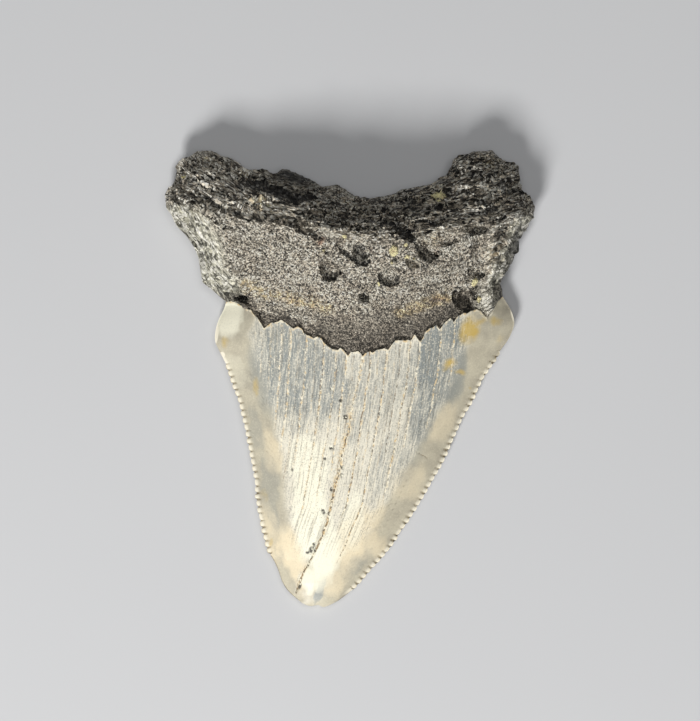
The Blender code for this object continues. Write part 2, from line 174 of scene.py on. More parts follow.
# Ridge where the root's lingual face turns into the basal face: (x, y, height).
ROOT_RIDGE = [
    (-20.5, 19.6, 4.8), (-17.0, 19.0, 6.6), (-12.0, 17.7, 8.2), (-6.0, 16.6, 9.7),
    (0.0, 15.6, 10.6), (4.0, 15.2, 10.7), (8.0, 15.6, 10.1), (12.0, 16.4, 8.9), (17.0, 17.4, 7.0),
    (20.5, 18.6, 5.0),
]
# Height of the basal face at the rim as a share of the ridge's, the power of its fall, and how far past
# the ridge its layers are at their full height.
BASAL_SHARE = 0.5
BASAL_POWER = 1.5
BASAL_START = 1.5
# Where the bone of each shoulder starts to stand over the enamel, how wide its slope is, and how high.
LEFT_SHOULDER = (-10.4, 2.2)
RIGHT_SHOULDER = (13.8, 2.0)
SHOULDER_OVERHANG = 2.3
# How far in from the rim each face of the root rounds off, on the lingual one by x.
ROUNDING = [(-20.0, 3.6), (-12.0, 3.0), (12.0, 2.8), (20.0, 2.4)]
LABIAL_ROUNDING = 1.5
# Labial face of the root: height of its flat part, and its hollow's depth, half width, start and slope.
LABIAL_GAP = 0.25
LABIAL_HOLLOW = 0.75
HOLLOW_PLACE = (9.0, 8.0, 5.0)
# Flat spots that the two lobes rest on: (x, y, radius).
LOBE_PADS = [(-14.5, 18.5, 2.6), (14.5, 18.5, 2.6)]

# Ledges of the layered basal face: each drops by its depth on the root side of its line.
LEDGES = [
    (0.8, 2.2, [(-17.1, 19.7), (-16.2, 19.3), (-15.1, 18.5), (-12.9, 18.05), (-11.7, 17.7),
                (-8.8, 17.5), (-7.2, 17.0), (-5.4, 16.2), (-3.2, 15.3)]),
    (0.7, 1.6, [(-5.4, 17.8), (-3.7, 17.65), (-2.6, 17.3), (-0.5, 17.0), (1.5, 17.4), (3.5, 17.1),
                (5.3, 16.8)]),
    (1.5, 1.3, [(-11.6, 21.4), (-9.7, 21.3), (-8.8, 20.9), (-7.4, 20.3), (-5.7, 19.9),
                (-4.5, 19.65), (-2.6, 19.6)]),
    (0.6, 1.2, [(4.6, 19.2), (6.2, 19.4), (8.6, 19.2), (9.4, 18.5), (11.3, 18.6), (15.6, 19.1)]),
    (0.6, 1.5, [(12.2, 22.3), (14.5, 22.1), (16.0, 22.3), (18.2, 21.2)]),
]
# How far a ledge takes to drop, and to fade out at its two ends.
LEDGE_WIDTH = 0.16
LEDGE_ENDS = 1.5

# Nutrient pits and hollows of the root: (x, y, half width, half height, depth, turn in degrees).
PITS = [
    (-2.15, 12.0, 0.85, 1.2, 0.9, 0), (1.2, 13.4, 1.1, 0.9, 0.9, 0), (8.6, 13.8, 1.1, 1.1, 1.2, 20),
    (10.8, 15.1, 1.7, 0.45, 0.6, 30), (6.2, 15.9, 1.4, 0.7, 0.8, -38), (4.3, 10.9, 1.1, 0.8, 0.7, 0),
    (12.5, 8.8, 0.75, 1.3, 1.3, 12), (13.7, 16.3, 1.3, 0.5, 0.8, -5), (14.0, 11.3, 0.9, 0.4, 0.8, 10),
    (1.6, 8.8, 0.5, 0.45, 0.6, 0), (-12.0, 8.7, 0.9, 0.35, 1.0, -5), (7.1, 12.4, 0.9, 0.4, 0.5, 0),
]
# Roughness of the root: size and height of its lumps, and of the layers along its basal face.
LUMP = (0.42, 0.3)
LAYER = (0.1, 1.1, 0.5)


# ---------------------------------------------------------------- helpers for places and heights

# Points in each span of a smooth curve, and places whose distances are worked out at once.
CURVE_STEPS = 12
SLICE = 8192


def smooth(x):
    """0 below 0, 1 above 1, and a smooth step between them."""
    x = np.clip(x, 0, 1)
    return x * x * (3 - 2 * x)


def after(value, start, width):
    """0 up to the start, 1 once this far past it, and a smooth step between them."""
    return smooth((value - start) / width)


def before(value, end, width):
    """1 until this far before the end, 0 past it, and a smooth step between them."""
    return smooth((end - value) / width)


def rounded(share):
    """Rise of a quarter circle over its radius."""
    return np.sqrt(1 - (1 - np.clip(share, 0, 1)) ** 2)


def table(rows, at):
    """Value of a small table of (place, value) rows at these places."""
    places, values = np.array(rows).T
    return np.interp(at, places, values)


def along(line, shares):
    """Points of a polyline at these shares of its length."""
    steps = np.hypot(*np.diff(line, axis=0).T)
    at = np.concatenate([[0], np.cumsum(steps)]) / steps.sum()
    return np.column_stack([np.interp(shares, at, line[:, 0]), np.interp(shares, at, line[:, 1])])


def curve(points, shares):
    """Points at these shares of the length of a smooth (Catmull-Rom) curve through the given ones."""
    first, last = 2 * np.array(points[0]) - points[1], 2 * np.array(points[-1]) - points[-2]
    knots = np.array([first, *points, last], float)
    t = np.linspace(0, 1, CURVE_STEPS, endpoint=False)[:, None]
    spans = []
    for a, b, c, d in zip(knots, knots[1:], knots[2:], knots[3:]):
        bend = 2 * a - 5 * b + 4 * c - d + t * (3 * (b - c) + d - a)
        spans.append(b + 0.5 * t * (c - a + t * bend))
    return along(np.vstack([*spans, knots[-2]]), shares)


def even(count):
    """This many even shares from 0 to 1."""
    return np.linspace(0, 1, count)


def ridge_of(off, middle, width):
    """1 where off is at the middle, falling away in a bell of this width."""
    return np.exp(-(((off - middle) / width) ** 2))


def nearest(x, y, line):
    """Distance of each place from a polyline, and the share of its length there, a slice at a time."""
    start, way = line[:-1], np.diff(line, axis=0)
    steps = np.hypot(*way.T)
    before = np.cumsum(steps) - steps
    found, shares = [], []
    for k in range(0, len(x), SLICE):
        off = np.column_stack([x[k:k + SLICE], y[k:k + SLICE]])[:, None, :] - start
        t = np.clip((off * way).sum(2) / (way**2).sum(1), 0, 1)
        gap = np.linalg.norm(off - t[..., None] * way, axis=2)
        best = gap.argmin(1)
        row = np.arange(len(best))
        found.append(gap[row, best])
        shares.append((before[best] + t[row, best] * steps[best]) / steps.sum())
    return np.concatenate(found), np.concatenate(shares)


def distance(x, y, line):
    """Distance of each place from a polyline."""
    return nearest(x, y, line)[0]


def height_on(line, x):
    """Y of a line of points that runs from left to right, at these x."""
    return np.interp(x, *np.array(line).T[:2])


def rough(x, y, seed, octaves=1):
    """Smooth noise, about -1 to 1, whose lumps are about one unit of x and y across."""
    places = zip(x, y, np.broadcast_to(seed, np.shape(x)))
    return np.array([noise.fractal(Vector(place), 1.0, 2.0, octaves) for place in places])


def reach(x, y, place):
    """0 in the middle of an ellipse (x, y, half width, half height, turn in degrees), 1 at its edge."""
    at_x, at_y, half_width, half_height, turn = place
    c, s = math.cos(math.radians(turn)), math.sin(math.radians(turn))
    dx, dy = x - at_x, y - at_y
    return np.hypot((dx * c + dy * s) / half_width, (dy * c - dx * s) / half_height)


def spots(x, y, places, flat=0.0):
    """Strongest of several (strength, *ellipse) spots, each flat over this share of its reach."""
    found = np.zeros_like(x)
    for strength, *place in places:
        found = np.maximum(found, strength * smooth((1 - reach(x, y, place)) / (1 - flat)))
    return found


def coons(bottom, top, left, right, across=None):
    """Grid of places between four lines: rows go from bottom to top, columns from left to right."""
    u = (even(len(bottom)) if across is None else across)[None, :, None]
    v = even(len(left))[:, None, None]
    level = (1 - v) * bottom[None] + v * top[None]
    upright = (1 - u) * left[:, None] + u * right[:, None]
    corners = (1 - v) * ((1 - u) * bottom[0] + u * bottom[-1]) + v * ((1 - u) * top[0] + u * top[-1])
    return level + upright - corners


def relaxed(places, rounds):
    """The grid with each inner point moved towards the middle of its neighbours, many times."""
    for _ in range(rounds):
        beside = places[1:-1, :-2] + places[1:-1, 2:] + places[:-2, 1:-1] + places[2:, 1:-1]
        places[1:-1, 1:-1] = beside / 4
    return places


def crowded(places, across, upright):
    """The grid read again at other shares of its columns and rows."""
    for axis, shares in ((0, upright), (1, across)):
        last = places.shape[axis] - 1
        low = np.clip((shares * last).astype(int), 0, last - 1)
        part = np.expand_dims(shares * last - low, (1 - axis, 2))
        places = places.take(low, axis) * (1 - part) + places.take(low + 1, axis) * part
    return places


# Wear of the root's steep sides: its depth, the size of its lumps across and up, how close its steps are,
# the least slope that is worn and over how much slope it grows, and the rows that it takes from the rim.
WALL_WEAR = 0.7
WEAR_LUMPS = (0.55, 0.75)
WEAR_STEPS = 0.95
WORN_SLOPE = (0.85, 0.4)
WEAR_TAPER = 8


def weathered(places, z, outward):
    """Steep sides worn into uneven steps: each point goes in, square to the surface."""
    points = np.dstack([places, z])
    facing = outward * np.cross(np.gradient(points, axis=1), np.gradient(points, axis=0))
    facing /= np.linalg.norm(facing, axis=2, keepdims=True) + 1e-9
    x, y, level = points.reshape(-1, 3).T
    (across, up), (least, growth) = WEAR_LUMPS, WORN_SLOPE
    lumps = 0.5 + 0.9 * rough(x * across, y * across, 61.0 + level * up, 4)
    steps = layering(level * WEAR_STEPS + 0.4 * rough(x * 0.2, y * 0.2, 62.0, 2), x + y, 63.0)
    worn = WALL_WEAR * np.clip(0.65 * lumps + 0.45 * steps, 0, 1).reshape(z.shape)
    worn = worn * before(np.abs(facing[..., 2]), least, growth)
    rows, columns = (np.arange(count) for count in z.shape)
    inside_rows = np.minimum(rows, rows[::-1])[:, None]
    inside = np.minimum(inside_rows, np.minimum(columns, columns[::-1])[None])
    worn = worn * smooth(inside / WEAR_TAPER)
    points = points - facing * worn[..., None]
    return points[..., :2], np.maximum(points[..., 2], 0.0)


# ---------------------------------------------------------------- the tooth's form


class Form:
    """Plan and heights of the tooth's two faces, before the fine detail."""

    def __init__(self):
        self.left = curve(LEFT_EDGE, even(110))
        self.right = curve(RIGHT_EDGE, even(125))
        self.tip = curve(TIP, even(16))
        self.blade = np.vstack([self.left, self.tip[1:-1], self.right[::-1]])
        left, upper, right = (curve(part, even(n)) for part, n in
                              ((LEFT_FLANK, 40), (UPPER_RIM, 150), (RIGHT_FLANK, 36)))
        self.rim = np.vstack([left, upper[1:-1], right[::-1]])

    def crown_share(self, x, y):
        """Share of the way from the left cutting edge to the right one."""
        left, right = (np.interp(y, *side[::-1, ::-1].T) for side in (self.left, self.right))
        return np.clip((x - left) / np.maximum(right - left, 0.1), 0, 1)

    def crown(self, x, y, depth=None):
        """Heights of the enamel's lingual and labial faces."""
        if depth is None:
            depth = distance(x, y, self.blade)
        rim = table(RIM_HEIGHT, y)
        steep, full = BULGE
        bulge = (1 - np.abs(2 * self.crown_share(x, y) - 1) ** steep) ** full
        bulge *= rounded((y - self.tip[:, 1].min()) / TIP_ROUNDING)
        least = EDGE_SLOPE * np.minimum(depth, EDGE_DEPTH)
        lingual = rim + np.maximum(table(CROWN_RISE, y) * bulge, least)
        return lingual, np.maximum(rim - np.maximum(LABIAL_RISE * bulge, least), 0)

    def root(self, x, y, depth):
        """Heights of the root's lingual and labial faces, before roughness."""
        rim = table(RIM_HEIGHT, y)
        ridge_x, ridge_y, ridge_z = np.array(ROOT_RIDGE).T
        ridge_at, ridge = np.interp(x, ridge_x, ridge_y), np.interp(x, ridge_x, ridge_z)
        line_at = table(ENAMEL_ARC, x)
        (left, left_slope), (right, right_slope) = LEFT_SHOULDER, RIGHT_SHOULDER
        shoulder = before(x, left, left_slope) + after(x, right, right_slope)
        line = self.crown(x, line_at)[0] - ENAMEL_STEP + SHOULDER_OVERHANG * shoulder
        climb = after(y, line_at, ridge_at - line_at)
        fall = np.clip((y - ridge_at) / np.maximum(y - ridge_at + depth, 0.01), 0, 1) ** BASAL_POWER
        lingual = (line + (ridge - line) * climb) * (1 - (1 - BASAL_SHARE) * fall)
        lingual = rim + (lingual - rim) * rounded(depth / table(ROUNDING, x))
        wide, start, slope = HOLLOW_PLACE
        labial = LABIAL_GAP + LABIAL_HOLLOW * ridge_of(x, 0, wide) * after(y, start, slope)
        labial = rim + (labial - rim) * rounded(depth / LABIAL_ROUNDING)
        for pad_x, pad_y, radius in LOBE_PADS:
            labial *= smooth(np.hypot(x - pad_x, y - pad_y) / radius - 1)
        return lingual, labial


# ---------------------------------------------------------------- enamel of the crown

# Points of the enamel's two sheets.
CROWN_COLUMNS = 300
CROWN_ROWS = 293
LABIAL_COLUMNS = 36
# Drop and chips of the enamel's upper edge, and the share of its width that each grows over at the ends.
LIP_DROP = 0.9
DROP_FADE = 0.05
LIP_CHIPS = 0.11
CHIPS_FADE = 0.03

# How the enamel's lines run down to the tip: (y, how far they have moved) and (y, their spread).
FLOW_DRIFT = [
    (-25.0, -5.6), (-23.0, -5.3), (-20.0, -4.6), (-16.5, -3.5), (-13.7, -2.5), (-8.0, -1.45),
    (-4.0, -0.85), (0.0, -0.3), (4.0, 0.0), (9.0, 0.2),
]
FLOW_SPREAD = [
    (-25.0, 0.5), (-23.0, 0.6), (-20.0, 0.8), (-16.5, 0.9), (-13.7, 0.925), (-8.0, 0.95),
    (-4.0, 0.965), (0.0, 0.99), (4.0, 1.0), (9.0, 1.03),
]
# Middle of the crown, between the flow's two sides.
FLOW_MIDDLE = [(-25.0, -3.5), (-10.0, 0.0), (9.0, 1.0)]

# Width of the smooth margin beside each cutting edge: (y, width).
LEFT_MARGIN = [(-22.0, 2.0), (-16.0, 3.0), (-8.0, 3.2), (-4.0, 3.3), (2.0, 3.4), (7.0, 3.8)]
RIGHT_MARGIN = [(-22.0, 2.2), (-16.0, 3.0), (-8.0, 3.2), (-3.0, 2.6), (0.0, 2.8), (3.0, 3.4), (8.0, 4.2)]

# Cracks along the flow: (place at the enamel's edge, upper end, lower end, darkness, paleness).
CRACKS = [
    (-10.3, 6.0, 1.0, 0.1, 0.4), (-9.6, 5.6, -3.0, 0.2, 0.6), (-8.6, 5.9, -5.0, 0.2, 0.5),
    (-7.5, 6.2, -8.0, 0.35, 0.9), (-6.45, 5.5, -9.5, 0.4, 1.0), (-5.6, 5.2, -13.5, 0.4, 0.3),
    (-4.7, 4.8, -11.0, 0.5, 0.95), (-3.7, 4.4, -13.0, 0.4, 0.4), (-2.75, 3.9, -16.3, 0.65, 0.8),
    (-1.4, 3.3, -14.5, 0.6, 0.75), (-0.25, 2.6, -11.5, 0.6, 1.0), (0.5, 2.8, -15.0, 0.45, 0.3),
    (2.4, 3.0, -17.0, 0.8, 0.9), (3.3, 3.2, -12.0, 0.3, 0.4), (4.2, 3.2, -21.5, 0.7, 1.0),
    (5.1, 3.9, -12.0, 0.35, 0.3), (5.75, 4.2, -10.5, 0.65, 0.15), (6.62, 4.4, -14.5, 0.65, 1.0),
    (7.7, 4.5, -9.0, 0.5, 0.95), (8.8, 5.2, -5.0, 0.3, 0.2), (9.95, 5.5, -7.0, 0.3, 0.95),
    (11.4, 6.3, -1.5, 0.1, 0.9), (12.3, 6.9, 2.0, 0.0, 0.3),
]
# Half width of a crack's dark core, how far beside its pale seam it runs, and half width of the seam.
CRACK_WIDTH = 0.11
CRACK_OFFSET = 0.09
SEAM_WIDTH = 0.17

# The one open crack, from the enamel's edge down to the tip, and a short one across the flow.
MAIN_CRACK = [
    (1.4, 2.5), (1.1, 0.4), (0.6, -1.8), (0.2, -3.3), (0.0, -5.3), (-0.5, -7.0), (-0.85, -8.3),
    (-1.0, -9.5), (-1.35, -11.0), (-1.65, -12.0), (-1.95, -13.6), (-2.4, -15.3), (-2.75, -16.7),
    (-3.2, -17.6), (-3.6, -18.6), (-4.25, -19.9), (-5.0, -21.1), (-5.5, -22.4), (-5.87, -23.5),
]
CROSS_CRACK = [(7.3, -8.0), (8.6, -8.8)]
# Darkness and half width of the short crack, and how far beside the open one its ash and its stain lie,
# with their widths.
CROSS_CUT = (0.4, 0.12)
ASH_BESIDE = (-0.22, 0.26)
STAIN_BESIDE = (-0.08, 0.34)

# Grains of grey mineral in the enamel's pits.
CROWN_PITS = [
    (1.0, -2.0, -1.1, 0.3, 0.3, 0), (1.0, -1.0, -2.4, 0.3, 0.28, 0), (1.0, -0.5, -4.2, 0.38, 0.45, 30),
    (1.0, -2.0, -7.6, 0.45, 0.35, 20), (0.7, -2.7, -8.8, 0.28, 0.25, 0), (0.6, -6.3, -10.0, 0.25, 0.4, 0),
    (0.9, -0.8, -9.8, 0.28, 0.35, 0), (0.7, -0.95, -10.6, 0.3, 0.4, 0), (0.9, -2.0, -12.2, 0.25, 0.5, 0),
    (0.8, -2.9, -14.6, 0.3, 0.6, 20), (1.0, -4.1, -18.8, 0.65, 0.55, 50), (0.9, -4.6, -19.1, 0.35, 0.3, 0),
    (0.8, -3.9, -18.2, 0.35, 0.3, 0), (0.8, -5.5, -22.8, 0.3, 0.6, -20), (0.5, 3.2, -3.9, 0.35, 0.3, 0),
]

# Share of each colour patch that has its full strength.
PATCH_MIDDLE = 0.45
# Colour patches of the enamel: (strength, x, y, half width, half height, turn in degrees).
SLATE_PATCHES = [
    (0.78, -6.0, 1.4, 6.6, 8.4, 6), (0.74, -2.8, -0.6, 3.9, 5.8, 0), (0.41, 3.0, 0.3, 4.6, 8.0, -5),
    (1.1, 8.9, 2.5, 2.1, 6.4, -6), (0.75, 8.1, -3.5, 1.8, 5.0, -12), (0.7, 10.8, 1.0, 2.6, 6.0, -10),
    (0.9, 11.0, 5.0, 2.4, 2.6, 0), (0.3, 6.3, -8.0, 2.0, 6.5, -12), (0.6, 6.8, 0.5, 1.3, 4.5, -6),
    (0.3, 3.6, -9.5, 2.0, 5.5, -14), (0.3, 3.1, -11.8, 0.9, 1.9, -10), (0.15, -12.2, 6.0, 2.2, 3.0, 0),
    (0.34, -8.7, -12.5, 1.5, 7.0, 5), (0.45, -6.0, -4.5, 1.8, 2.8, 0), (0.3, -10.3, -5.5, 1.1, 3.8, 12),
    (0.75, -3.2, -23.4, 0.5, 2.0, -22), (0.3, 0.9, -20.2, 1.3, 2.2, -40), (0.12, 15.2, 6.0, 3.0, 2.6, 0),
    (0.3, 0.5, -5.0, 2.0, 4.0, -10),
]
WHITE_PATCHES = [
    (1.0, -4.2, -15.0, 2.8, 8.5, 5), (0.75, -4.5, -9.5, 3.0, 4.6, 0), (0.85, -2.7, -19.6, 2.2, 4.6, -14),
    (0.6, 0.3, -15.5, 1.7, 4.8, -10), (0.8, -4.5, -22.2, 1.3, 2.0, 0), (0.7, -13.4, 6.8, 2.2, 3.2, 0),
    (0.25, -12.4, 0.6, 1.5, 3.4, 15),
]
WARM_PATCHES = [
    (1.0, -6.3, -19.5, 1.6, 4.6, 14), (0.9, 0.2, -18.0, 2.2, 4.5, -20), (0.8, 2.3, -15.6, 1.6, 2.6, -30),
    (0.6, -8.6, -16.8, 1.3, 4.5, 10), (0.6, -8.5, -8.0, 1.4, 3.2, 10), (0.6, 2.2, -18.5, 1.6, 2.4, -40),
    (0.6, -1.6, -22.5, 1.5, 2.0, -30), (0.4, 6.5, -11.5, 2.2, 3.0, -30), (0.4, 10.2, -5.0, 1.8, 3.0, -30),
]
OCHRE_SPOTS = [
    (1.3, 13.2, 5.4, 1.7, 2.6, -35), (0.9, 14.2, 6.3, 1.6, 0.9, 10), (0.8, 16.1, 6.3, 1.2, 0.9, 0),
    (1.0, 10.9, 1.5, 1.6, 1.1, 15), (0.8, 12.2, 0.6, 1.0, 0.6, -20), (0.75, -10.4, -0.9, 0.7, 2.0, 0),
    (0.75, -13.6, 3.9, 0.6, 1.2, 10), (0.4, -9.3, -12.8, 1.1, 1.6, 0), (0.6, -8.6, -18.0, 0.5, 1.0, 0),
    (0.35, 16.6, 4.3, 1.0, 1.6, -30), (0.7, 10.4, 1.0, 0.9, 0.6, 10), (0.6, 13.2, -1.1, 0.5, 0.4, 0),
]
# Painted highlights along the edges of the two shoulders, and of the enamel beside the root.
EDGE_HIGHLIGHTS = [
    (1.0, -14.8, 5.0, 0.75, 2.6, -4), (0.8, -14.0, 2.6, 0.7, 0.8, 20), (0.7, 17.9, 7.0, 0.45, 2.0, 12),
    (1.0, 14.6, 7.15, 0.7, 0.28, -40), (1.0, 15.5, 7.1, 0.75, 0.3, 50), (0.8, 7.75, 3.7, 0.3, 0.6, 0),
]


# Wear of the serrations, one by one: least and how much it varies.
SERRATION_WEAR = (0.8, 0.9)
# Share of a serration's outline that lies inside the cutting edge.
BEAD_INSIDE = 0.4


def bead(phase):
    """Outline of one serration: a rounded bead between narrow notches."""
    return np.sqrt(np.abs(np.sin(math.pi * phase)))


def serration(edge, run, side, shares):
    """How far each share of a cutting edge stands out, and how deep in a notch it is."""
    first, last = run
    count = round((last - first) * np.hypot(*np.diff(edge, axis=0).T).sum() / PITCH)
    least, varied = SERRATION_WEAR
    wear = np.array([least + varied * noise.noise(Vector((n * 0.61, side * 5.0, 0))) for n in range(count)])
    phase = (shares - first) / (last - first) * count
    worn = wear[np.clip(phase.astype(int), 0, count - 1)] * ((shares >= first) & (shares <= last))
    return count, worn * (bead(phase) - BEAD_INSIDE), worn * (1 - bead(phase))


def serrated(edge, run, side, height):
    """Cutting edge with its serrations, from the root down, with the same number of points each."""
    first, last = run
    count = serration(edge, run, side, even(2))[0]
    plain = CROWN_ROWS - 1 - BEAD_ROWS * count
    before = round(plain * first / (first + 1 - last))
    shares = np.concatenate([
        first * np.arange(before) / before,
        first + (last - first) * np.arange(BEAD_ROWS * count) / (BEAD_ROWS * count),
        last + (1 - last) * np.arange(plain - before + 1) / (plain - before),
    ])
    profile = serration(edge, run, side, shares)[1]
    way = along(edge, np.minimum(shares + 0.004, 1)) - along(edge, np.maximum(shares - 0.004, 0))
    normal = side * np.column_stack([-way[:, 1], way[:, 0]]) / np.hypot(*way.T)[:, None]
    return along(edge, shares) + normal * (height * profile)[:, None]


def notches(form, x, y, depth):
    """How deep in the notches between serrations each place near a cutting edge is."""
    found = np.zeros_like(x)
    near = depth < NOTCH_REACH
    sides = ((form.left, LEFT_SERRATED, -1), (form.right, RIGHT_SERRATED, 1))
    away, cuts = [], []
    for edge, run, side in sides:
        gap, shares = nearest(x[near], y[near], edge)
        away.append(gap)
        cuts.append(serration(edge, run, side, shares)[2])
    found[near] = np.where(away[0] < away[1], *cuts)
    return found * before(depth, NOTCH_REACH, 0.75 * NOTCH_REACH)


def flow_of(x, y):
    """Where the flow line through each place meets the enamel's edge."""
    return (x - table(FLOW_DRIFT, y)) / table(FLOW_SPREAD, y)


def crack_masks(x, y, flow):
    """Dark core and pale seam of every crack, side by side."""
    core, seam = np.zeros_like(x), np.zeros_like(x)
    spread = table(FLOW_SPREAD, y)
    level = np.arange(-26, 10, 0.25)
    deeper = 0.95 + 0.05 * before(y, -2, 6)
    for n, (place, upper, lower, darkness, paleness) in enumerate(CRACKS):
        wander = 0.16 * rough(level * 0.45, level * 0, 3.7 * n, 4)
        off = (flow - place - np.interp(y, level, wander)) * spread
        dark_off = off + CRACK_OFFSET * (-1) ** n * after(y, -10, 4)
        run = before(y, upper + 0.2, 0.4) * after(y, lower, 3.0)
        dark = np.clip(1 - np.abs(dark_off) / CRACK_WIDTH, 0, 1)
        core = np.maximum(core, deeper * darkness * run * dark)
        seam = np.maximum(seam, paleness * run * (1 - smooth(np.abs(off) / SEAM_WIDTH)))
    return core, seam


def open_crack(x, y):
    """The main crack's dark core, its pale sides, the grey mineral on its left and its stain."""
    level = np.array(MAIN_CRACK)[::-1]
    wander = 0.12 * rough(y * 1.3, y * 0, 91.0, 3)
    off = x - np.interp(y, level[:, 1], level[:, 0]) - wander
    width = 0.1 + 0.06 * before(y, -9, 6) * (0.7 + rough(y * 1.1, y * 0, 92.0, 2))
    run = after(y, -23.9, 0.6) * before(y, 2.6, 0.6)
    strength = 0.45 + 0.3 * before(y, -3, 4) + 0.2 * before(y, -11, 3)
    core = run * strength * (1 - smooth(np.abs(off) / width - 0.2))
    darkness, half_width = CROSS_CUT
    across = darkness * (1 - smooth(distance(x, y, np.array(CROSS_CRACK)) / half_width))
    ashy = ridge_of(off, *ASH_BESIDE) * before(y, -11, 3) * run
    stain = ridge_of(off, *STAIN_BESIDE) * before(y, -2.5, 2) * after(y, -15, 4) * run
    return np.maximum(core, across), run * (1 - smooth(np.abs(off) / (width + 0.25))), ashy, stain


# Heights of the enamel's fine detail.
LINE_RELIEF = 0.02
SWELL = 0.05
PIT_DEPTH = 0.1
BEAD_RELIEF = 0.07
NOTCH_DEPTH = 0.16
LIP_RELIEF = 0.05
# Width of the shine along the serrations, and place and width of the enamel's pale upper edge, which carries
# a painted highlight on its top.
BEAD_SHINE = 0.32
LIP_EDGE = (0.08, 0.15)
# Where each edge's serrations end: (upper end, its fade, lower end, its fade).
LEFT_TOOTHED = (3.0, 1.0, -19.8, 1.2)
RIGHT_TOOTHED = (2.5, 1.0, -24.2, 1.0)


def toothed_stretch(y, ends):
    """1 along the part of an edge that has serrations, and 0 past its ends."""
    upper, upper_fade, lower, lower_fade = ends
    return before(y, upper, upper_fade) * after(y, lower, lower_fade)


def crown_detail(form, x, y, lingual):
    """Fine height of the enamel, and its colour masks, at each place."""
    settings = bpy.context.scene.tooth_crown
    depth = distance(x, y, form.blade)
    notch = notches(form, x, y, depth)
    flow = flow_of(x, y)
    warp_x, warp_y = (size * rough(x * 0.7, y * 0.4, seed, 3) for size, seed in ((0.6, 11.0), (0.8, 12.0)))
    core, seam = crack_masks(x, y, flow)
    open_core, open_seam, ashy, stain = open_crack(x, y)
    below_lip = height_on(ENAMEL_LINE, x) - y
    on_right = x > table(FLOW_MIDDLE, y)
    margin_width = np.where(on_right, table(RIGHT_MARGIN, y), table(LEFT_MARGIN, y))
    toothed = np.where(on_right, toothed_stretch(y, RIGHT_TOOTHED), toothed_stretch(y, LEFT_TOOTHED))
    striped = smooth(depth + 0.5 * warp_x - margin_width + 0.5) * after(y, -21, 5)
    pits = spots(x + 0.1 * warp_x, y + 0.1 * warp_y, CROWN_PITS)
    bead_edge = ridge_of(depth, 0, BEAD_SHINE) * toothed
    lip_place, lip_width = LIP_EDGE

    height = LINE_RELIEF * rough(flow * 3.2, y * 0.12, 5.0, 3) * striped
    height += SWELL * rough(x * 0.25, y * 0.12, 6.0, 2)
    height -= settings.crack_depth / MM * np.maximum(core, 1.4 * open_core) + PIT_DEPTH * pits
    height += BEAD_RELIEF * bead_edge * smooth(1.2 - 1.6 * notch) - NOTCH_DEPTH * notch
    height += LIP_RELIEF * ridge_of(below_lip, lip_width, lip_width) * lingual
    patches = {"slate": SLATE_PATCHES, "white": WHITE_PATCHES, "warm": WARM_PATCHES}
    masks = {name: spots(x + warp_x, y + warp_y, places, PATCH_MIDDLE) for name, places in patches.items()}
    masks |= {
        "ochre": spots(x + 0.5 * warp_x, y + 0.5 * warp_y, OCHRE_SPOTS),
        "striped": striped,
        "crack": np.maximum(core, open_core) * lingual,
        "seam": np.maximum(seam, open_seam) * lingual * striped,
        "ashy": ashy * lingual,
        "stain": stain * lingual,
        "pit": pits * lingual,
        "notch": notch,
        "bead": bead_edge * smooth(1.1 - 2 * notch),
        # Pale upper edge of the enamel: its cream colour with a painted highlight on its top.
        "lip": ridge_of(below_lip, lip_place, lip_width) * lingual
        * smooth(0.7 + 1.6 * rough(x * 2.2, x * 0, 15.0, 3)),
        # Painted highlights along the shoulders' edges and the enamel beside the root.
        "shoulder": spots(x, y, EDGE_HIGHLIGHTS),
    }
    return height, masks, {"run": (flow + 0.03 * rough(x * 0.8, y * 0.8, 14.0, 2), y, y * 0)}


def pinned(z, places, face, edges):
    """Heights with these edges of the sheet put on the rim, half its thickness up or down."""
    rim = table(RIM_HEIGHT, places[..., 1]) + RIM_THICKNESS * (0.5 - face)
    for edge in edges:
        z[edge] = rim[edge]
    return z


def make_crown(form):
    """Shell of enamel: a fine lingual face, a plainer labial face and the wall between them."""
    settings = bpy.context.scene.tooth_crown
    height = settings.serration_height / MM
    left = serrated(form.left, LEFT_SERRATED, -1, height)[::-1]
    right = serrated(form.right, RIGHT_SERRATED, 1, height)[::-1]
    shells = []
    for columns, upper_line, face in ((CROWN_COLUMNS, ENAMEL_LINE, 0), (LABIAL_COLUMNS, LABIAL_ARC, 1)):
        # The labial face has fewer columns, drawn together at the cutting edges.
        across = (1 - np.cos(math.pi * even(columns))) / 2 if face else even(columns)
        from_end = np.minimum(across, 1 - across)
        level = left[-1, 0] + (right[-1, 0] - left[-1, 0]) * across
        chips = LIP_CHIPS * rough(level * 2.6, level * 0, 17.0, 3) * smooth(from_end / CHIPS_FADE)
        upper = np.column_stack([level, height_on(upper_line, level) + chips])
        places = coons(curve(TIP, across), upper, left, right, across)
        if face == 0:
            # The last row goes straight down, so that the enamel ends in an upright edge.
            places = np.concatenate([places, places[-1:]])
        x, y = places.reshape(-1, 2).T
        fine, masks, flow = crown_detail(form, x, y, 1.0 - face)
        z = form.crown(x, y)[face] + (fine if face == 0 else -0.3 * np.abs(fine))
        z = np.maximum(z, 0.0).reshape(places.shape[:2])
        z = pinned(z, places, face, (np.s_[0, :], np.s_[:, 0], np.s_[:, -1]))
        if face == 0:
            z[-1] -= LIP_DROP * smooth(from_end / DROP_FADE)
        shells.append((places, z, masks, flow, (across, even(len(places)))))
    return shells


# ---------------------------------------------------------------- bone of the root

# Points of the bone's two sheets, rounds of relaxing, and how much closer they are at the rim.
ROOT_COLUMNS = 460
ROOT_ROWS = 184
ROOT_BACK_COLUMNS = 160
ROOT_BACK_ROWS = 80
RELAXING = 150
END_CROWDING = 0.1
TOP_CROWDING = 0.12
# How far the bone goes past the enamel's edge, and how far below the enamel it lies there.
TUCK = 0.6
UNDER_ENAMEL = 0.3
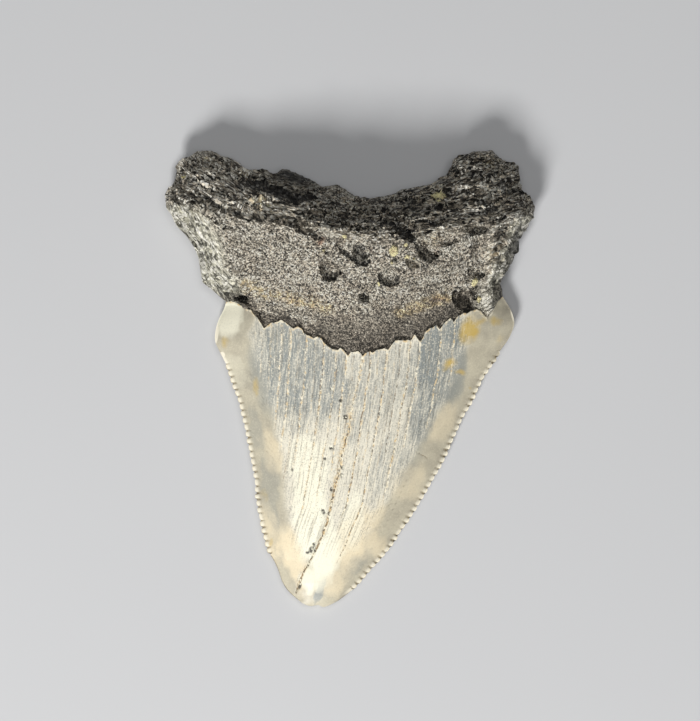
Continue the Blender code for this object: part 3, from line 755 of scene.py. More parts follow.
# Slope of the bone's layers, how far above the rim the grain follows the steep wall, and how close it is.
DIP = 0.35
WALL_TOP = 2.2
WALL_GRAIN = 2.2

# Run of the bone's layers: (x, height of a layer above its place in the saddle).
STRATA_RISE = [
    (-20.0, 9.2), (-16.0, 5.6), (-12.0, 2.9), (-9.0, 1.3), (-6.0, 0.45), (-2.0, 0.0), (5.0, 0.0),
    (10.0, 0.5), (15.0, 1.9), (20.0, 4.6),
]

# Narrow clefts of the root: (depth, half width, line).
CLEFTS = [
    (0.5, 0.13, [(-17.1, 19.6), (-16.2, 19.2), (-15.1, 18.45), (-12.9, 18.0), (-11.7, 17.65),
                 (-10.7, 17.45), (-8.8, 17.45), (-7.2, 16.95), (-6.2, 16.65), (-5.4, 16.15),
                 (-4.4, 15.75), (-3.2, 15.25)]),
    (0.5, 0.14, [(-5.4, 17.75), (-3.7, 17.6), (-2.6, 17.2), (-1.4, 17.05), (-0.5, 16.95),
                 (1.5, 17.35), (3.5, 17.05), (5.3, 16.75)]),
    (0.9, 0.42, [(-11.6, 21.5), (-9.7, 21.2), (-8.8, 20.8), (-7.4, 20.2), (-5.7, 19.8), (-4.3, 20.0)]),
    (0.45, 0.12, [(-15.0, 21.0), (-13.0, 20.0), (-11.0, 19.3), (-9.0, 18.9)]),
    (0.45, 0.14, [(-17.4, 19.0), (-16.6, 20.0), (-15.4, 19.4), (-13.9, 18.6)]),
    (0.4, 0.1, [(-17.5, 21.9), (-15.5, 20.9), (-14.0, 20.2)]),
    (0.35, 0.1, [(-16.0, 23.5), (-14.2, 22.9), (-12.6, 22.0)]),
    (0.35, 0.1, [(-13.6, 23.6), (-12.6, 22.6), (-11.6, 21.8)]),
    (0.4, 0.1, [(-12.4, 21.2), (-10.6, 20.4), (-9.2, 19.8), (-7.6, 19.3)]),
    (0.35, 0.1, [(-8.2, 18.4), (-6.2, 18.1), (-4.4, 17.5)]),
    (0.4, 0.12, [(-2.5, 18.6), (-0.5, 18.4), (1.6, 18.7), (3.8, 18.5)]),
    (0.4, 0.12, [(-4.0, 20.0), (-2.4, 19.3), (-0.9, 18.9), (0.8, 18.2)]),
    (0.55, 0.16, [(6.0, 19.6), (7.2, 19.4), (8.2, 19.5)]), (0.5, 0.16, [(9.3, 18.7), (11.2, 18.6)]),
    (0.6, 0.16, [(10.4, 20.7), (11.6, 20.5), (12.7, 20.6)]), (0.5, 0.13, [(13.9, 19.2), (15.7, 19.1)]),
    (0.5, 0.13, [(17.0, 20.4), (18.2, 20.6), (19.3, 20.4)]), (0.5, 0.13, [(15.3, 17.4), (17.4, 17.7)]),
    (0.35, 0.12, [(4.6, 18.9), (6.6, 18.4), (8.8, 18.1), (10.6, 17.9)]),
    (0.35, 0.1, [(7.6, 17.2), (9.2, 17.4), (11.4, 17.3), (13.4, 17.9)]),
    (0.4, 0.12, [(11.6, 22.4), (13.4, 22.6), (14.8, 22.2), (16.2, 22.6)]),
    (0.4, 0.24, [(4.3, 17.0), (5.0, 16.6), (5.8, 15.95), (6.9, 15.2)]),
    (0.5, 0.2, [(-12.6, 8.85), (-12.1, 8.75), (-11.6, 8.55), (-11.1, 8.2)]),
    (0.35, 0.11, [(-15.4, 17.7), (-14.2, 16.9), (-12.5, 16.2)]),
    (0.5, 0.15, [(-3.0, 12.1), (-2.85, 11.4), (-2.4, 11.0), (-1.85, 11.05), (-1.5, 11.5)]),
    (0.6, 0.15, [(-1.3, 14.6), (-0.9, 13.9), (-0.3, 13.4), (0.5, 12.85), (1.3, 12.5), (2.0, 12.75)]),
    (0.4, 0.16, [(1.05, 14.1), (1.35, 13.6), (1.4, 13.3)]),
    (0.3, 0.13, [(6.9, 15.1), (7.5, 14.1), (8.2, 13.2), (8.8, 12.75), (9.3, 13.3)]),
    (0.2, 0.08, [(9.3, 13.4), (10.2, 14.2), (11.3, 14.9), (12.4, 15.5)]),
    (0.5, 0.17, [(3.35, 11.4), (3.6, 10.7), (4.25, 10.2), (5.0, 10.45), (5.4, 10.9)]),
    (0.6, 0.22, [(11.75, 9.8), (11.65, 9.0), (12.0, 8.0), (12.5, 7.6), (13.3, 7.6)]),
    (0.4, 0.13, [(13.1, 11.7), (13.8, 11.5), (14.5, 11.1)]),
    (0.35, 0.15, [(13.3, 15.8), (13.8, 16.2), (14.6, 16.5), (15.2, 16.1)]),
]

# Hollows, with painted shade that is darkest at their lower lip: (depth, darkness, x, y, half width, half
# height, turn).
HOLLOWS = [
    (1.0, 0.5, -2.15, 11.9, 0.85, 1.15, 0), (0.6, 0.32, 1.25, 13.6, 0.5, 0.75, 0),
    (0.8, 0.72, 8.6, 13.35, 0.8, 0.5, -20), (0.7, 0.62, 7.7, 14.3, 0.75, 0.38, -50),
    (0.4, 0.5, 9.3, 13.8, 0.55, 0.35, 25), (0.6, 0.4, 4.3, 11.2, 0.85, 0.85, 0),
    (0.6, 0.22, 12.4, 8.9, 0.65, 1.4, 8), (0.5, 0.6, 14.1, 11.2, 0.6, 0.3, 8),
    (0.6, 0.8, 1.55, 8.9, 0.3, 0.35, -30), (0.6, 0.3, 13.6, 16.0, 0.4, 0.25, 0),
    (0.6, 0.25, 14.6, 16.3, 0.35, 0.25, 0), (0.6, 0.7, 13.5, 9.2, 0.22, 0.45, 20),
    (0.5, 0.9, 3.4, 16.15, 0.32, 0.22, 0), (0.5, 0.85, -12.0, 8.75, 0.5, 0.2, -8),
    (0.4, 0.7, -8.6, 16.1, 0.3, 0.2, 0), (0.5, 0.6, 5.9, 16.0, 1.2, 0.4, -33),
    (0.4, 0.5, 7.0, 12.5, 0.45, 0.3, 0), (0.4, 0.4, 11.2, 15.0, 1.1, 0.22, 28),
    (0.3, 0.6, 9.9, 15.9, 0.3, 0.2, 40), (0.3, 0.6, 4.9, 13.0, 0.6, 0.2, -10),
]

# Pale lumps of mineral: (strength, x, y, half width, half height, turn), and the share that is flat.
GRAINS = [
    (1.0, 4.85, 13.9, 0.68, 0.9, 10), (0.95, 6.1, 14.5, 0.5, 0.46, 0), (0.9, 6.3, 13.1, 0.55, 0.45, 0),
    (0.8, 7.0, 12.9, 0.35, 0.35, 0), (0.8, 9.6, 20.1, 1.15, 0.85, 10), (0.7, 13.7, 10.5, 0.4, 0.6, -20),
    (0.9, 14.1, 8.7, 0.4, 0.5, 0), (1.0, -2.8, 13.9, 0.34, 0.34, 0), (0.9, -18.4, 22.1, 0.27, 0.4, 30),
    (0.7, -0.6, 15.4, 0.4, 0.3, 0), (0.55, 3.2, 10.2, 0.3, 0.5, 0), (0.5, 4.6, 12.5, 0.3, 0.3, 0),
]
GRAIN_MIDDLE = 0.45

# Paler, smoother places of the layers.
TAN_PATCHES = [
    (1.0, -9.9, 19.2, 2.6, 0.85, -22), (0.8, -11.4, 22.2, 1.2, 0.55, -20), (0.45, 9.0, 15.0, 1.8, 0.9, 10),
    (0.5, 15.4, 23.5, 1.3, 0.9, 20), (0.5, -15.8, 24.0, 1.2, 0.4, -10), (0.6, 11.3, 22.1, 0.6, 0.35, 0),
    (0.4, -0.2, 19.3, 1.4, 0.5, -15), (0.4, 16.0, 13.3, 1.6, 1.8, 20),
]
# The thin pale thread on the right lobe, the yellow streaks above the band, and the red-brown stains.
THREAD = [(16.2, 19.4), (16.6, 19.1), (16.6, 18.7), (16.2, 18.3)]
OCHRE_BANDS = [
    [(-11.4, 10.2), (-10.0, 9.5), (-8.0, 9.1), (-6.5, 8.6), (-4.0, 8.2), (-2.2, 7.6)],
    [(5.5, 7.2), (7.0, 7.8), (8.5, 8.3), (10.0, 8.7), (11.3, 9.2)],
]
RUST_SPOTS = [
    (1.0, -3.1, 14.8, 0.9, 0.7, 50), (0.5, 2.2, 13.9, 0.7, 0.5, 30), (0.6, 9.5, 13.9, 0.5, 1.0, -30),
    (0.5, 11.2, 22.2, 1.0, 0.5, 0), (0.5, 9.8, 8.7, 1.6, 0.6, 15), (0.35, -6.5, 8.6, 2.5, 0.7, -10),
]
# The sandy lump at the right shoulder.
CLAST = [(0.9, 14.9, 8.4, 2.0, 2.5, 0)]
# Parts of the root that are darker all over.
SHADOWS = [
    (1.15, -6.0, 22.1, 5.6, 1.8, -12), (0.12, 1.0, 19.2, 6.0, 1.3, 0), (1.15, -7.0, 20.4, 5.0, 0.85, -14),
    (1.0, 18.2, 14.4, 1.3, 6.0, -21), (0.5, 14.0, 13.0, 0.7, 2.0, 10), (0.4, 9.5, 18.8, 4.5, 0.8, 0),
    (0.4, 6.0, 16.4, 2.0, 1.0, -20), (0.45, -1.0, 17.4, 5.0, 0.7, 0), (0.4, 17.2, 9.8, 0.8, 2.0, 0),
    (0.3, -14.5, 18.6, 3.2, 0.6, -22), (0.16, 7.5, 10.5, 4.5, 2.6, 0),
]
# How dark the basal face is from lobe to lobe: (x, darkness).
BASAL_DARKNESS = [
    (-20.0, 0.0), (-13.0, 0.05), (-9.0, 0.1), (-6.0, 0.45), (-3.0, 0.9), (8.0, 1.0), (13.0, 0.8),
    (20.0, 0.65),
]


# Heights of the bone's fine detail.
CHUNK_RELIEF = 0.3
HOLLOW_DEPTH = 0.7
GRAIN_RELIEF = 0.45
THREAD_RELIEF = 0.12
CLAST_RELIEF = 0.25
# Half width of the pale thread, and the core and the fade of the yellow streaks.
THREAD_WIDTH = 0.13
OCHRE_WIDTH = (0.25, 0.65)
# Stretch of the rim over which the fine heights grow, and how much of them it keeps.
RIM_FADE = (0.5, 0.15)
# Masks that the hidden labial face goes without.
LINGUAL_ONLY = ("hollow", "grain", "thread", "clast", "ochre", "rust")


def nearest_of(x, y, lines, points):
    """Distances from each of several smooth lines."""
    return [distance(x, y, curve(line, even(points))) for line in lines]


def hollow_depth(x, y):
    """How far the hollows go down, and how dark their painted shade is at each place."""
    deep, dark = np.zeros_like(x), np.zeros_like(x)
    for drop, darkness, *place in HOLLOWS:
        inside = before(reach(x, y, place), 1.2, 0.5)
        low = smooth(0.6 - 0.6 * (y - place[1]) / place[3])
        deep = np.maximum(deep, drop * inside * (0.45 + 0.55 * low))
        # Painted shade in the hollow, darkest at its lower lip.
        dark = np.maximum(dark, darkness * inside * (0.65 + 0.35 * low))
    return deep, dark


def cleft_depth(x, y, uneven):
    """How far the narrow clefts go down."""
    deepest = np.zeros_like(x)
    for deep, half_width, line in CLEFTS:
        off = distance(x, y, curve(line, even(30)))
        deepest = np.maximum(deepest, deep * (1 - smooth(off / (half_width * uneven))))
    return deepest


def layering(place, run, seed):
    """Edges of thin layers: each rises slowly and breaks off, in stretches."""
    phase = place + 1.1 * rough(run * 0.3, place * 0.5, seed, 2)
    share = phase - np.floor(phase)
    broken = smooth(0.6 + 1.3 * rough(run * 0.35, np.floor(phase) * 3.1, seed + 1, 2))
    return broken * (share - after(share, 0.72, 0.28))


def root_relief(x, y, basal):
    """Height that ledges, pits, layers and lumps add, as in the CAD part."""
    added = np.zeros_like(x)
    for drop, recovery, line in LEDGES:
        (first, _), (last, _) = line[0], line[-1]
        past = y - height_on(line, x) - 0.12 * rough(x * 1.3, y * 0, 40.0, 2)
        ends = after(x, first, LEDGE_ENDS) * before(x, last, LEDGE_ENDS)
        fallen = np.clip(past / LEDGE_WIDTH, 0, 1) * (1 - after(past, LEDGE_WIDTH, recovery))
        added -= drop * ends * fallen
    for *middle_and_size, depth, turn in PITS:
        added -= depth * (1 - smooth(reach(x, y, (*middle_and_size, turn)) - 0.2))
    wide, high, layer_height = LAYER
    size, lump_height = LUMP
    layers = np.array([noise.noise(Vector((a * wide, b * high, 3.0))) for a, b in zip(x, y)])
    return added + layer_height * layers * basal + lump_height * rough(x * size, y * size, 0.0, 5)


def flank_of(x, y, depth):
    """The two steep sides beside the crown's shoulders."""
    left = before(depth, 3.6, 2.0) * before(x, -11.0, 2.0) * before(y, 19.6, 1.6)
    right = before(depth, 1.9, 1.2) * after(x, 13.0, 2.0) * before(y, 18.5, 1.6)
    return np.maximum(left, right)


def band_of(x, above_line, warp):
    """The smooth dark band above the enamel, and the fainter one over its middle."""
    edge = above_line + 2.0 * warp
    band = 1 - after(edge + 1.2 * before(x, -2, 3), 1.4, 1.6)
    faint = 1 - after(edge, 3.0, 2.2)
    return np.maximum(band, 0.75 * faint * before(x, 12, 3) * after(x, -6, 4))


def root_detail(x, y, depth, level, lingual):
    """Fine height of the bone, and its colour masks, at each place."""
    settings = bpy.context.scene.tooth_root
    warp_x, warp_y = (0.35 * rough(x * 0.9, y * 0.9, seed, 3) for seed in (21.0, 22.0))
    above_line = y - height_on(ENAMEL_LINE, x)
    past_ridge = y - height_on(ROOT_RIDGE, x)
    saddle = before(np.abs(x - 1), 8.5, 3.0)
    flank = flank_of(x, y, depth - warp_x)
    layered = np.maximum(after(past_ridge + 2 * warp_y, -1.0, 1.8), after(np.abs(x), 13.5, 3.0))
    band = band_of(x, above_line, warp_y)

    strata = y - table(STRATA_RISE, x)
    side_along = y - 0.45 * np.abs(x)
    side_across = np.abs(x) * 0.9 - y * np.where(x < 0, 0.5, 0.45)
    along_layers = rough(x * 0.32, strata * 2.6, 31.0, 4)
    along_flank = rough(side_across * 2.3, side_along * 0.6, 32.0, 4)
    stripes = along_layers * (1 - flank) + along_flank * flank
    slabs = layering(strata * 1.2, x, 36.0) + 0.4 * layering(strata * 2.7, x * 1.6, 42.0)
    slabs = slabs * (1 - flank) + 0.6 * layering(side_across * 1.2, y, 38.0) * flank
    chunks = rough(x * 0.7, strata * 1.2, 44.0, 4)
    granules = rough(x * 3.6, y * 3.6, 33.0, 3)

    ragged_x, ragged_y = (0.3 * rough(x * 1.5, y * 1.5, seed, 4) + 0.16 * rough(x * 4.5, y * 4.5, seed, 2)
                          for seed in (45.0, 46.0))
    hollow, hollow_dark = hollow_depth(x + ragged_x, y + ragged_y)
    uneven = np.clip(1.7 + 1.8 * rough(x * 1.1, y * 1.1, 47.0, 2), 0.7, 3.0)
    grooves = cleft_depth(x + ragged_x + 0.3 * warp_x, y + ragged_y + 0.3 * warp_y, uneven)
    grains = spots(x + 0.25 * warp_x, y + 0.25 * warp_y, GRAINS, GRAIN_MIDDLE)
    thread = 1 - smooth(nearest_of(x, y, [THREAD], 20)[0] / THREAD_WIDTH)
    clast = spots(x, y, CLAST)

    height = settings.layer_height / MM * stripes * (0.25 + 0.75 * np.maximum(layered, flank))
    grainier = 1 - 0.4 * band + 1.2 * smooth(past_ridge / BASAL_START) * saddle
    height += settings.granule_height / MM * granules * grainier
    height += settings.slab_height / MM * slabs * np.maximum(layered, 0.7 * flank)
    height += CHUNK_RELIEF * chunks * layered - grooves * (0.6 + 0.8 * warp_y)
    height -= HOLLOW_DEPTH * hollow * after(above_line, 0.2, 0.9)
    height += GRAIN_RELIEF * grains + THREAD_RELIEF * thread + CLAST_RELIEF * clast
    rim_width, kept = RIM_FADE
    height *= smooth(depth / rim_width) * (1 - kept) + kept

    core, fade = OCHRE_WIDTH
    nearby = np.minimum(*nearest_of(x + 1.2 * warp_x, y + 0.8 * warp_y, OCHRE_BANDS, 30))
    ochre = (1 - after(nearby, core, fade)) * smooth(0.65 + 1.2 * rough(x * 1.6, y * 2.4, 35.0, 3))
    masks = {
        "layered": layered,
        "saddle": saddle,
        "dark": after(past_ridge + warp_y, -0.8, 1.8) * table(BASAL_DARKNESS, x),
        "flank": flank,
        "band": band,
        "shade": smooth(0.55 + 0.7 * stripes + 0.5 * chunks * layered),
        # Painted shade in the clefts and hollows.
        "hollow": np.clip(2.2 * grooves + hollow_dark, 0, 1),
        "grain": grains,
        "thread": thread,
        "shadow": spots(x + warp_x, y + warp_y, SHADOWS),
        "clast": clast,
        "ochre": np.maximum(ochre, 0.95 * spots(x + warp_x, y + warp_y, TAN_PATCHES)),
        "rust": spots(x + warp_x, y + warp_y, RUST_SPOTS),
    }
    if not lingual:
        masks |= {name: np.zeros_like(x) for name in LINGUAL_ONLY}
    return height, masks, {
        "run": (x, strata - DIP * level),
        "side_run": (side_along, side_across - DIP * level),
    }


def broken_rim(points, ends):
    """A stretch of the rim with a rough edge, left as it is where it meets the crown."""
    x, y = points.T
    for size, offset in ((1.1, 0.2), (2.6, 0.16), (5.5, 0.09)):
        shake = np.column_stack([rough(x * size, y * size, 51.0), rough(x * size, y * size, 52.0)])
        points = points + offset * shake * ends[:, None]
    return points


def root_places(columns, rows, line, close):
    """Grid of the root in plan, between the enamel's line and the rim, and its columns' and rows' shares."""
    level = np.linspace(line[0][0], line[-1][0], columns)
    tuck = TUCK * smooth(np.minimum(level - line[0][0], line[-1][0] - level) / 2.0)
    lower = np.column_stack([level, height_on(line, level) - tuck])
    upper = broken_rim(curve(UPPER_RIM, even(columns)), np.ones(columns))
    sides = [broken_rim(curve(flank, even(rows)), smooth(even(rows) / 0.15))
             for flank in (LEFT_FLANK, RIGHT_FLANK)]
    places = relaxed(coons(lower, upper, *sides), RELAXING)
    across, upright = even(columns), even(rows)
    if close:
        # More points near the rim, where the bone is steep.
        ends = 2 * across - 1
        across = 0.5 + 0.5 * ((1 + END_CROWDING) * ends - END_CROWDING * ends**7)
        upright = (1 + TOP_CROWDING) * upright - TOP_CROWDING * upright**6
        places = crowded(places, across, upright)
    return places, across, upright


def make_root(form):
    """Shell of bone: a fine lingual and basal face, a plainer labial face and the wall between."""
    shells = []
    for columns, rows, line, face in (
        (ROOT_COLUMNS, ROOT_ROWS, ENAMEL_LINE, 0),
        (ROOT_BACK_COLUMNS, ROOT_BACK_ROWS, LABIAL_ARC, 1),
    ):
        places, *shares = root_places(columns, rows, line, face == 0)
        x, y = places.reshape(-1, 2).T
        depth = distance(x, y, form.rim)
        z = form.root(x, y, depth)[face]
        fine, masks, grain = root_detail(x, y, depth, z, face == 0)
        if face == 0:
            z = z + root_relief(x, y, after(y, height_on(ROOT_RIDGE, x), BASAL_START)) + fine
        else:
            z = z + 0.4 * np.abs(fine)
        # Past the enamel's line the bone goes under the enamel.
        past = height_on(line, x) - y + 0.05
        under = form.crown(x, y)[face] + UNDER_ENAMEL * (2 * face - 1)
        z = z + np.where(past > 0, (under - z) * smooth(past / 0.12), 0.0)
        z = np.maximum(z, 0.0).reshape(places.shape[:2])
        z = pinned(z, places, face, (np.s_[-1, :], np.s_[:, 0], np.s_[:, -1]))
        # Height on the steep wall beside the rim, so that the grain there isn't drawn out downwards.
        steep = np.maximum(WALL_TOP + table(RIM_HEIGHT, y) - z.ravel(), 0)
        grain = {title: (*pair, WALL_TOP - WALL_GRAIN * steep) for title, pair in grain.items()}
        places, z = weathered(places, z, 1 - 2 * face)
        shells.append((places, z, masks, grain, shares))
    return shells


# ---------------------------------------------------------------- meshes


def face_sheet(name, places, heights):
    """A grid primitive with its points moved to these places and heights."""
    rows, columns = heights.shape
    bpy.ops.object.select_all(action="DESELECT")
    bpy.ops.mesh.primitive_grid_add(x_subdivisions=columns - 1, y_subdivisions=rows - 1, size=2)
    sheet = bpy.context.object
    sheet.name = name
    flat = np.zeros(len(sheet.data.vertices) * 3)
    sheet.data.vertices.foreach_get("co", flat)
    across, up = (flat.reshape(-1, 3)[:, :2].T + 1) / 2
    row, column = np.rint(up * (rows - 1)).astype(int), np.rint(across * (columns - 1)).astype(int)
    points = np.column_stack([places[row, column] - PLAN_CENTRE, heights[row, column]]) * MM
    low, high = (np.array(corner) for corner in CAD_BOX)
    sheet.data.vertices.foreach_set("co", np.clip(points, low, high).ravel())
    return sheet, row * columns + column


def border(rows, columns, first):
    """Points round a grid's edge, anticlockwise from its lower left corner."""
    grid = first + np.arange(rows * columns).reshape(rows, columns)
    return np.concatenate([grid[0, :-1], grid[:-1, -1], grid[-1, :0:-1], grid[:0:-1, 0]])


def stitch(upper, lower, upper_at, lower_at):
    """Triangles between two closed lines of points, kept in step by their places round the edge."""
    faces, a, b = [], 0, 0
    while a < len(upper) or b < len(lower):
        if b >= len(lower) or (a < len(upper) and upper_at[a + 1] <= lower_at[b + 1]):
            faces.append((upper[a], lower[b % len(lower)], upper[(a + 1) % len(upper)]))
            a += 1
        else:
            faces.append((upper[a % len(upper)], lower[b], lower[(b + 1) % len(lower)]))
            b += 1
    return faces


def edge_places(across, upright):
    """Where each border point is round the edge, with each side counting one, and 4 at the end."""
    return np.concatenate([across[:-1], 1 + upright[:-1], 3 - across[:0:-1], 3 + upright[:-1], [4]])


def make_shell(name, shells, smooth_angle):
    """Joins a lingual and a labial sheet into one closed piece, with its masks as attributes."""
    sheets, orders = zip(*(face_sheet(name, places, z) for places, z, *_ in shells))
    bpy.ops.object.select_all(action="DESELECT")
    for sheet in sheets:
        sheet.select_set(True)
    piece = sheets[0]
    bpy.context.view_layer.objects.active = piece
    bpy.ops.object.join()
    piece.name = piece.data.name = name

    # Points of each sheet by row and column, whatever order the primitive has them in.
    where = np.concatenate([np.argsort(orders[0]), len(orders[0]) + np.argsort(orders[1])])
    loops, places_round, first = [], [], 0
    for _, z, _, _, shares in shells:
        rows, columns = z.shape
        loops.append(where[border(rows, columns, first)])
        places_round.append(edge_places(*shares))
        first += rows * columns
    mesh = bmesh.new()
    mesh.from_mesh(piece.data)
    mesh.verts.ensure_lookup_table()
    for corners in stitch(*loops, *places_round):
        mesh.faces.new([mesh.verts[k] for k in corners])
    mesh.to_mesh(piece.data)
    mesh.free()

    order = np.concatenate([orders[0], len(orders[0]) + orders[1]])
    for mask in shells[0][2]:
        values = np.concatenate([shell[2][mask] for shell in shells])[order]
        layer = piece.data.attributes.new(mask, "FLOAT", "POINT")
        layer.data.foreach_set("value", values.astype(np.float32))
    for title in shells[0][3]:
        run = np.concatenate([np.column_stack(shell[3][title]) for shell in shells])[order]
        layer = piece.data.attributes.new(title, "FLOAT_VECTOR", "POINT")
        layer.data.foreach_set("vector", run.astype(np.float32).ravel())

    bpy.ops.object.mode_set(mode="EDIT")
    bpy.ops.mesh.select_all(action="SELECT")
    bpy.ops.mesh.normals_make_consistent(inside=False)
    bpy.ops.mesh.select_all(action="DESELECT")
    bpy.ops.object.mode_set(mode="OBJECT")
    bpy.ops.object.shade_smooth_by_angle(angle=math.radians(smooth_angle))
    for uv in list(piece.data.uv_layers):
        piece.data.uv_layers.remove(uv)
    return piece


def seat(piece):
    """The piece rides on the tooth's body and stands for its solid."""
    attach(piece, BODY)
    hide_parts(SOLID)


# ---------------------------------------------------------------- shader nodes

# Room for each node on its board, and nodes in a row.
NODE_WIDTH = 220
NODE_HEIGHT = 320
NODE_COLUMNS = 9
# Lightest that one grain of the bone can be.
BRIGHTEST = (0.86, 0.84, 0.76)
# Height of the bumps in the enamel, and in the bone from its paler to its darker part, in metres.
ENAMEL_BUMP = 0.06 * MM
BONE_BUMP = (0.2 * MM, 0.5 * MM)


def srgb(red, green, blue):
    """A colour of 0 to 255 values as Blender's linear ones."""
    shares = [value / 255 for value in (red, green, blue)]
    return tuple(c / 12.92 if c <= 0.04045 else ((c + 0.055) / 1.055) ** 2.4 for c in shares)


class Board:
    """Lays out the nodes of one material or group."""

    def __init__(self, tree):
        self.tree = tree
        self.count = 0

    def node(self, kind, inputs=(), **settings):
        node = self.tree.nodes.new(kind)
        row, column = divmod(self.count, NODE_COLUMNS)
        node.location = (NODE_WIDTH * column, -NODE_HEIGHT * row)
        self.count += 1
        for name, value in settings.items():
            setattr(node, name, value)
        for name, value in dict(inputs).items():
            self.feed(node.inputs[name], value)
        return node

    def feed(self, socket, value):
        if isinstance(value, bpy.types.NodeSocket):
            self.tree.links.new(value, socket)
        elif socket.type == "RGBA" and len(value) == 3:
            socket.default_value = (*value, 1)
        else:
            socket.default_value = value

    def mask(self, name):
        """Value of a piece's own attribute."""
        return self.node("ShaderNodeAttribute", attribute_name=name).outputs["Fac"]

    def vector(self, name):
        """Direction or place kept in a piece's own attribute."""
        return self.node("ShaderNodeAttribute", attribute_name=name).outputs["Vector"]

    def math(self, operation, first, second):
        return self.node("ShaderNodeMath", {0: first, 1: second}, operation=operation).outputs[0]

    def times(self, product, *factors):
        for factor in factors:
            product = self.math("MULTIPLY", product, factor)
        return product

    def plus(self, first, second):
        return self.math("ADD", first, second)

    def span(self, value, low, high, to_low=0.0, to_high=1.0):
        """The value, mapped from one span to another and kept within it."""
        inputs = {"Value": value, "From Min": low, "From Max": high, "To Min": to_low, "To Max": to_high}
        return self.node("ShaderNodeMapRange", inputs).outputs["Result"]

    def blend(self, factor, first, second):
        """The first colour turned into the second by this much."""
        node = self.node("ShaderNodeMix", data_type="RGBA")
        for socket, value in ((0, factor), (6, first), (7, second)):
            self.feed(node.inputs[socket], value)
        return node.outputs[2]

    def over(self, colour, layers):
        """The colour under layers of paint: (mask, low, high, strongest, paint) for each."""
        for mask, low, high, strongest, paint in layers:
            colour = self.blend(self.span(mask, low, high, 0, strongest), colour, paint)
        return colour

    def stretched(self, vector, scale):
        return self.node("ShaderNodeMapping", {"Vector": vector, "Scale": scale}).outputs["Vector"]

    def noise(self, vector, scale, detail, roughness, distortion=0.0):
        inputs = {"Vector": vector, "Scale": scale, "Detail": detail, "Roughness": roughness,
                  "Distortion": distortion}
        return self.node("ShaderNodeTexNoise", inputs).outputs["Fac"]

    def millimetres(self):
        """Object coordinates in millimetres."""
        place = self.node("ShaderNodeTexCoord").outputs["Object"]
        return self.stretched(place, (1 / MM, 1 / MM, 1 / MM))


def new_group(name, inputs, outputs):
    """A shader node group with its inner board and its two ends."""
    tree = bpy.data.node_groups.new(name, "ShaderNodeTree")
    for title, kind, value in inputs:
        socket = tree.interface.new_socket(title, in_out="INPUT", socket_type=kind)
        if value is not None:
            socket.default_value = value
    for title, kind in outputs:
        tree.interface.new_socket(title, in_out="OUTPUT", socket_type=kind)
    board = Board(tree)
    return tree, board, board.node("NodeGroupInput").outputs, board.node("NodeGroupOutput")


def grit_group():
    """Mineral grains packed together: the tone of each, the dark gaps between them, and a height."""
    tree, board, given, end = new_group(
        "Mineral grit",
        [("Vector", "NodeSocketVector", None), ("Grain", "NodeSocketFloat", 4.0)],
        [("Tone", "NodeSocketFloat"), ("Gaps", "NodeSocketFloat"), ("Height", "NodeSocketFloat")],
    )
    shift = board.node("ShaderNodeTexNoise", {"Vector": given["Vector"], "Scale": given["Grain"],
                                              "Detail": 1.0}).outputs["Color"]
    moved = board.node("ShaderNodeVectorMath", {0: shift, 1: (0.14, 0.14, 0.14)}, operation="MULTIPLY")
    place = board.node("ShaderNodeVectorMath", {0: given["Vector"], 1: moved.outputs[0]})
    place = place.outputs[0]
    cells = board.node("ShaderNodeTexVoronoi", {"Vector": place, "Scale": given["Grain"]}).outputs
    tone = board.node("ShaderNodeSeparateColor", {"Color": cells["Color"]}).outputs["Red"]
    middle = board.span(cells["Distance"], 0.7, 0.2)
    board.feed(end.inputs["Tone"], tone)
    board.feed(end.inputs["Gaps"], board.span(cells["Distance"], 0.4, 0.85))
    board.feed(end.inputs["Height"], board.plus(board.times(middle, 0.6), board.times(tone, 0.4)))
    return tree


def clouds_group():
    """Soft blotches of several sizes, as a mask."""
    tree, board, given, end = new_group(
        "Clouding",
        [("Vector", "NodeSocketVector", None), ("Size", "NodeSocketFloat", 2.0),
         ("Low", "NodeSocketFloat", 0.35), ("High", "NodeSocketFloat", 0.65)],
        [("Mask", "NodeSocketFloat")],
    )
    cloud = board.noise(given["Vector"], board.math("DIVIDE", 1.0, given["Size"]), 4.0, 0.55, 0.3)
    board.feed(end.inputs["Mask"], board.span(cloud, given["Low"], given["High"]))
    return tree


def place_group(board, tree, inputs):
    """Outputs of a group placed on a board with these inputs."""
    return board.node("ShaderNodeGroup", inputs, node_tree=tree).outputs


def clouding(board, clouds, place, size, low, high):
    """Mask of soft blotches of this size."""
    return place_group(board, clouds, {"Vector": place, "Size": size, "Low": low, "High": high})["Mask"]


def grains_of(board, grit, vector, grain):
    """Tone, gaps and height of mineral grains, so many to a millimetre."""
    return place_group(board, grit, {"Vector": vector, "Grain": grain})


def new_material(name):
    """A material with an empty board, its shader and its Object coordinates in millimetres."""
    material = bpy.data.materials.new(name)
    material.use_nodes = True
    board = Board(material.node_tree)
    return material, board, material.node_tree.nodes["Principled BSDF"], board.millimetres()


class CrownNoises:
    """Noises that several coats of the enamel share: lines along the crown, dots, dashes and dirt."""

    def __init__(self, board, place):
        self.run = board.vector("run")
        self.fine = board.noise(board.stretched(self.run, (1.0, 0.11, 0)), 6.5, 2.0, 0.6)
        self.broad = board.noise(board.stretched(self.run, (1.0, 0.13, 0)), 2.1, 3.0, 0.6)
        self.dots = board.noise(board.stretched(self.run, (1.0, 0.55, 0)), 6.0, 2.0, 0.7)
        self.stipple = board.noise(place, 5.5, 2.0, 0.7)
        self.dash = board.noise(board.stretched(place, (1.0, 0.55, 1)), 5.5, 2.0, 0.6)
        self.dirt = board.noise(place, 1.6, 3.0, 0.7)


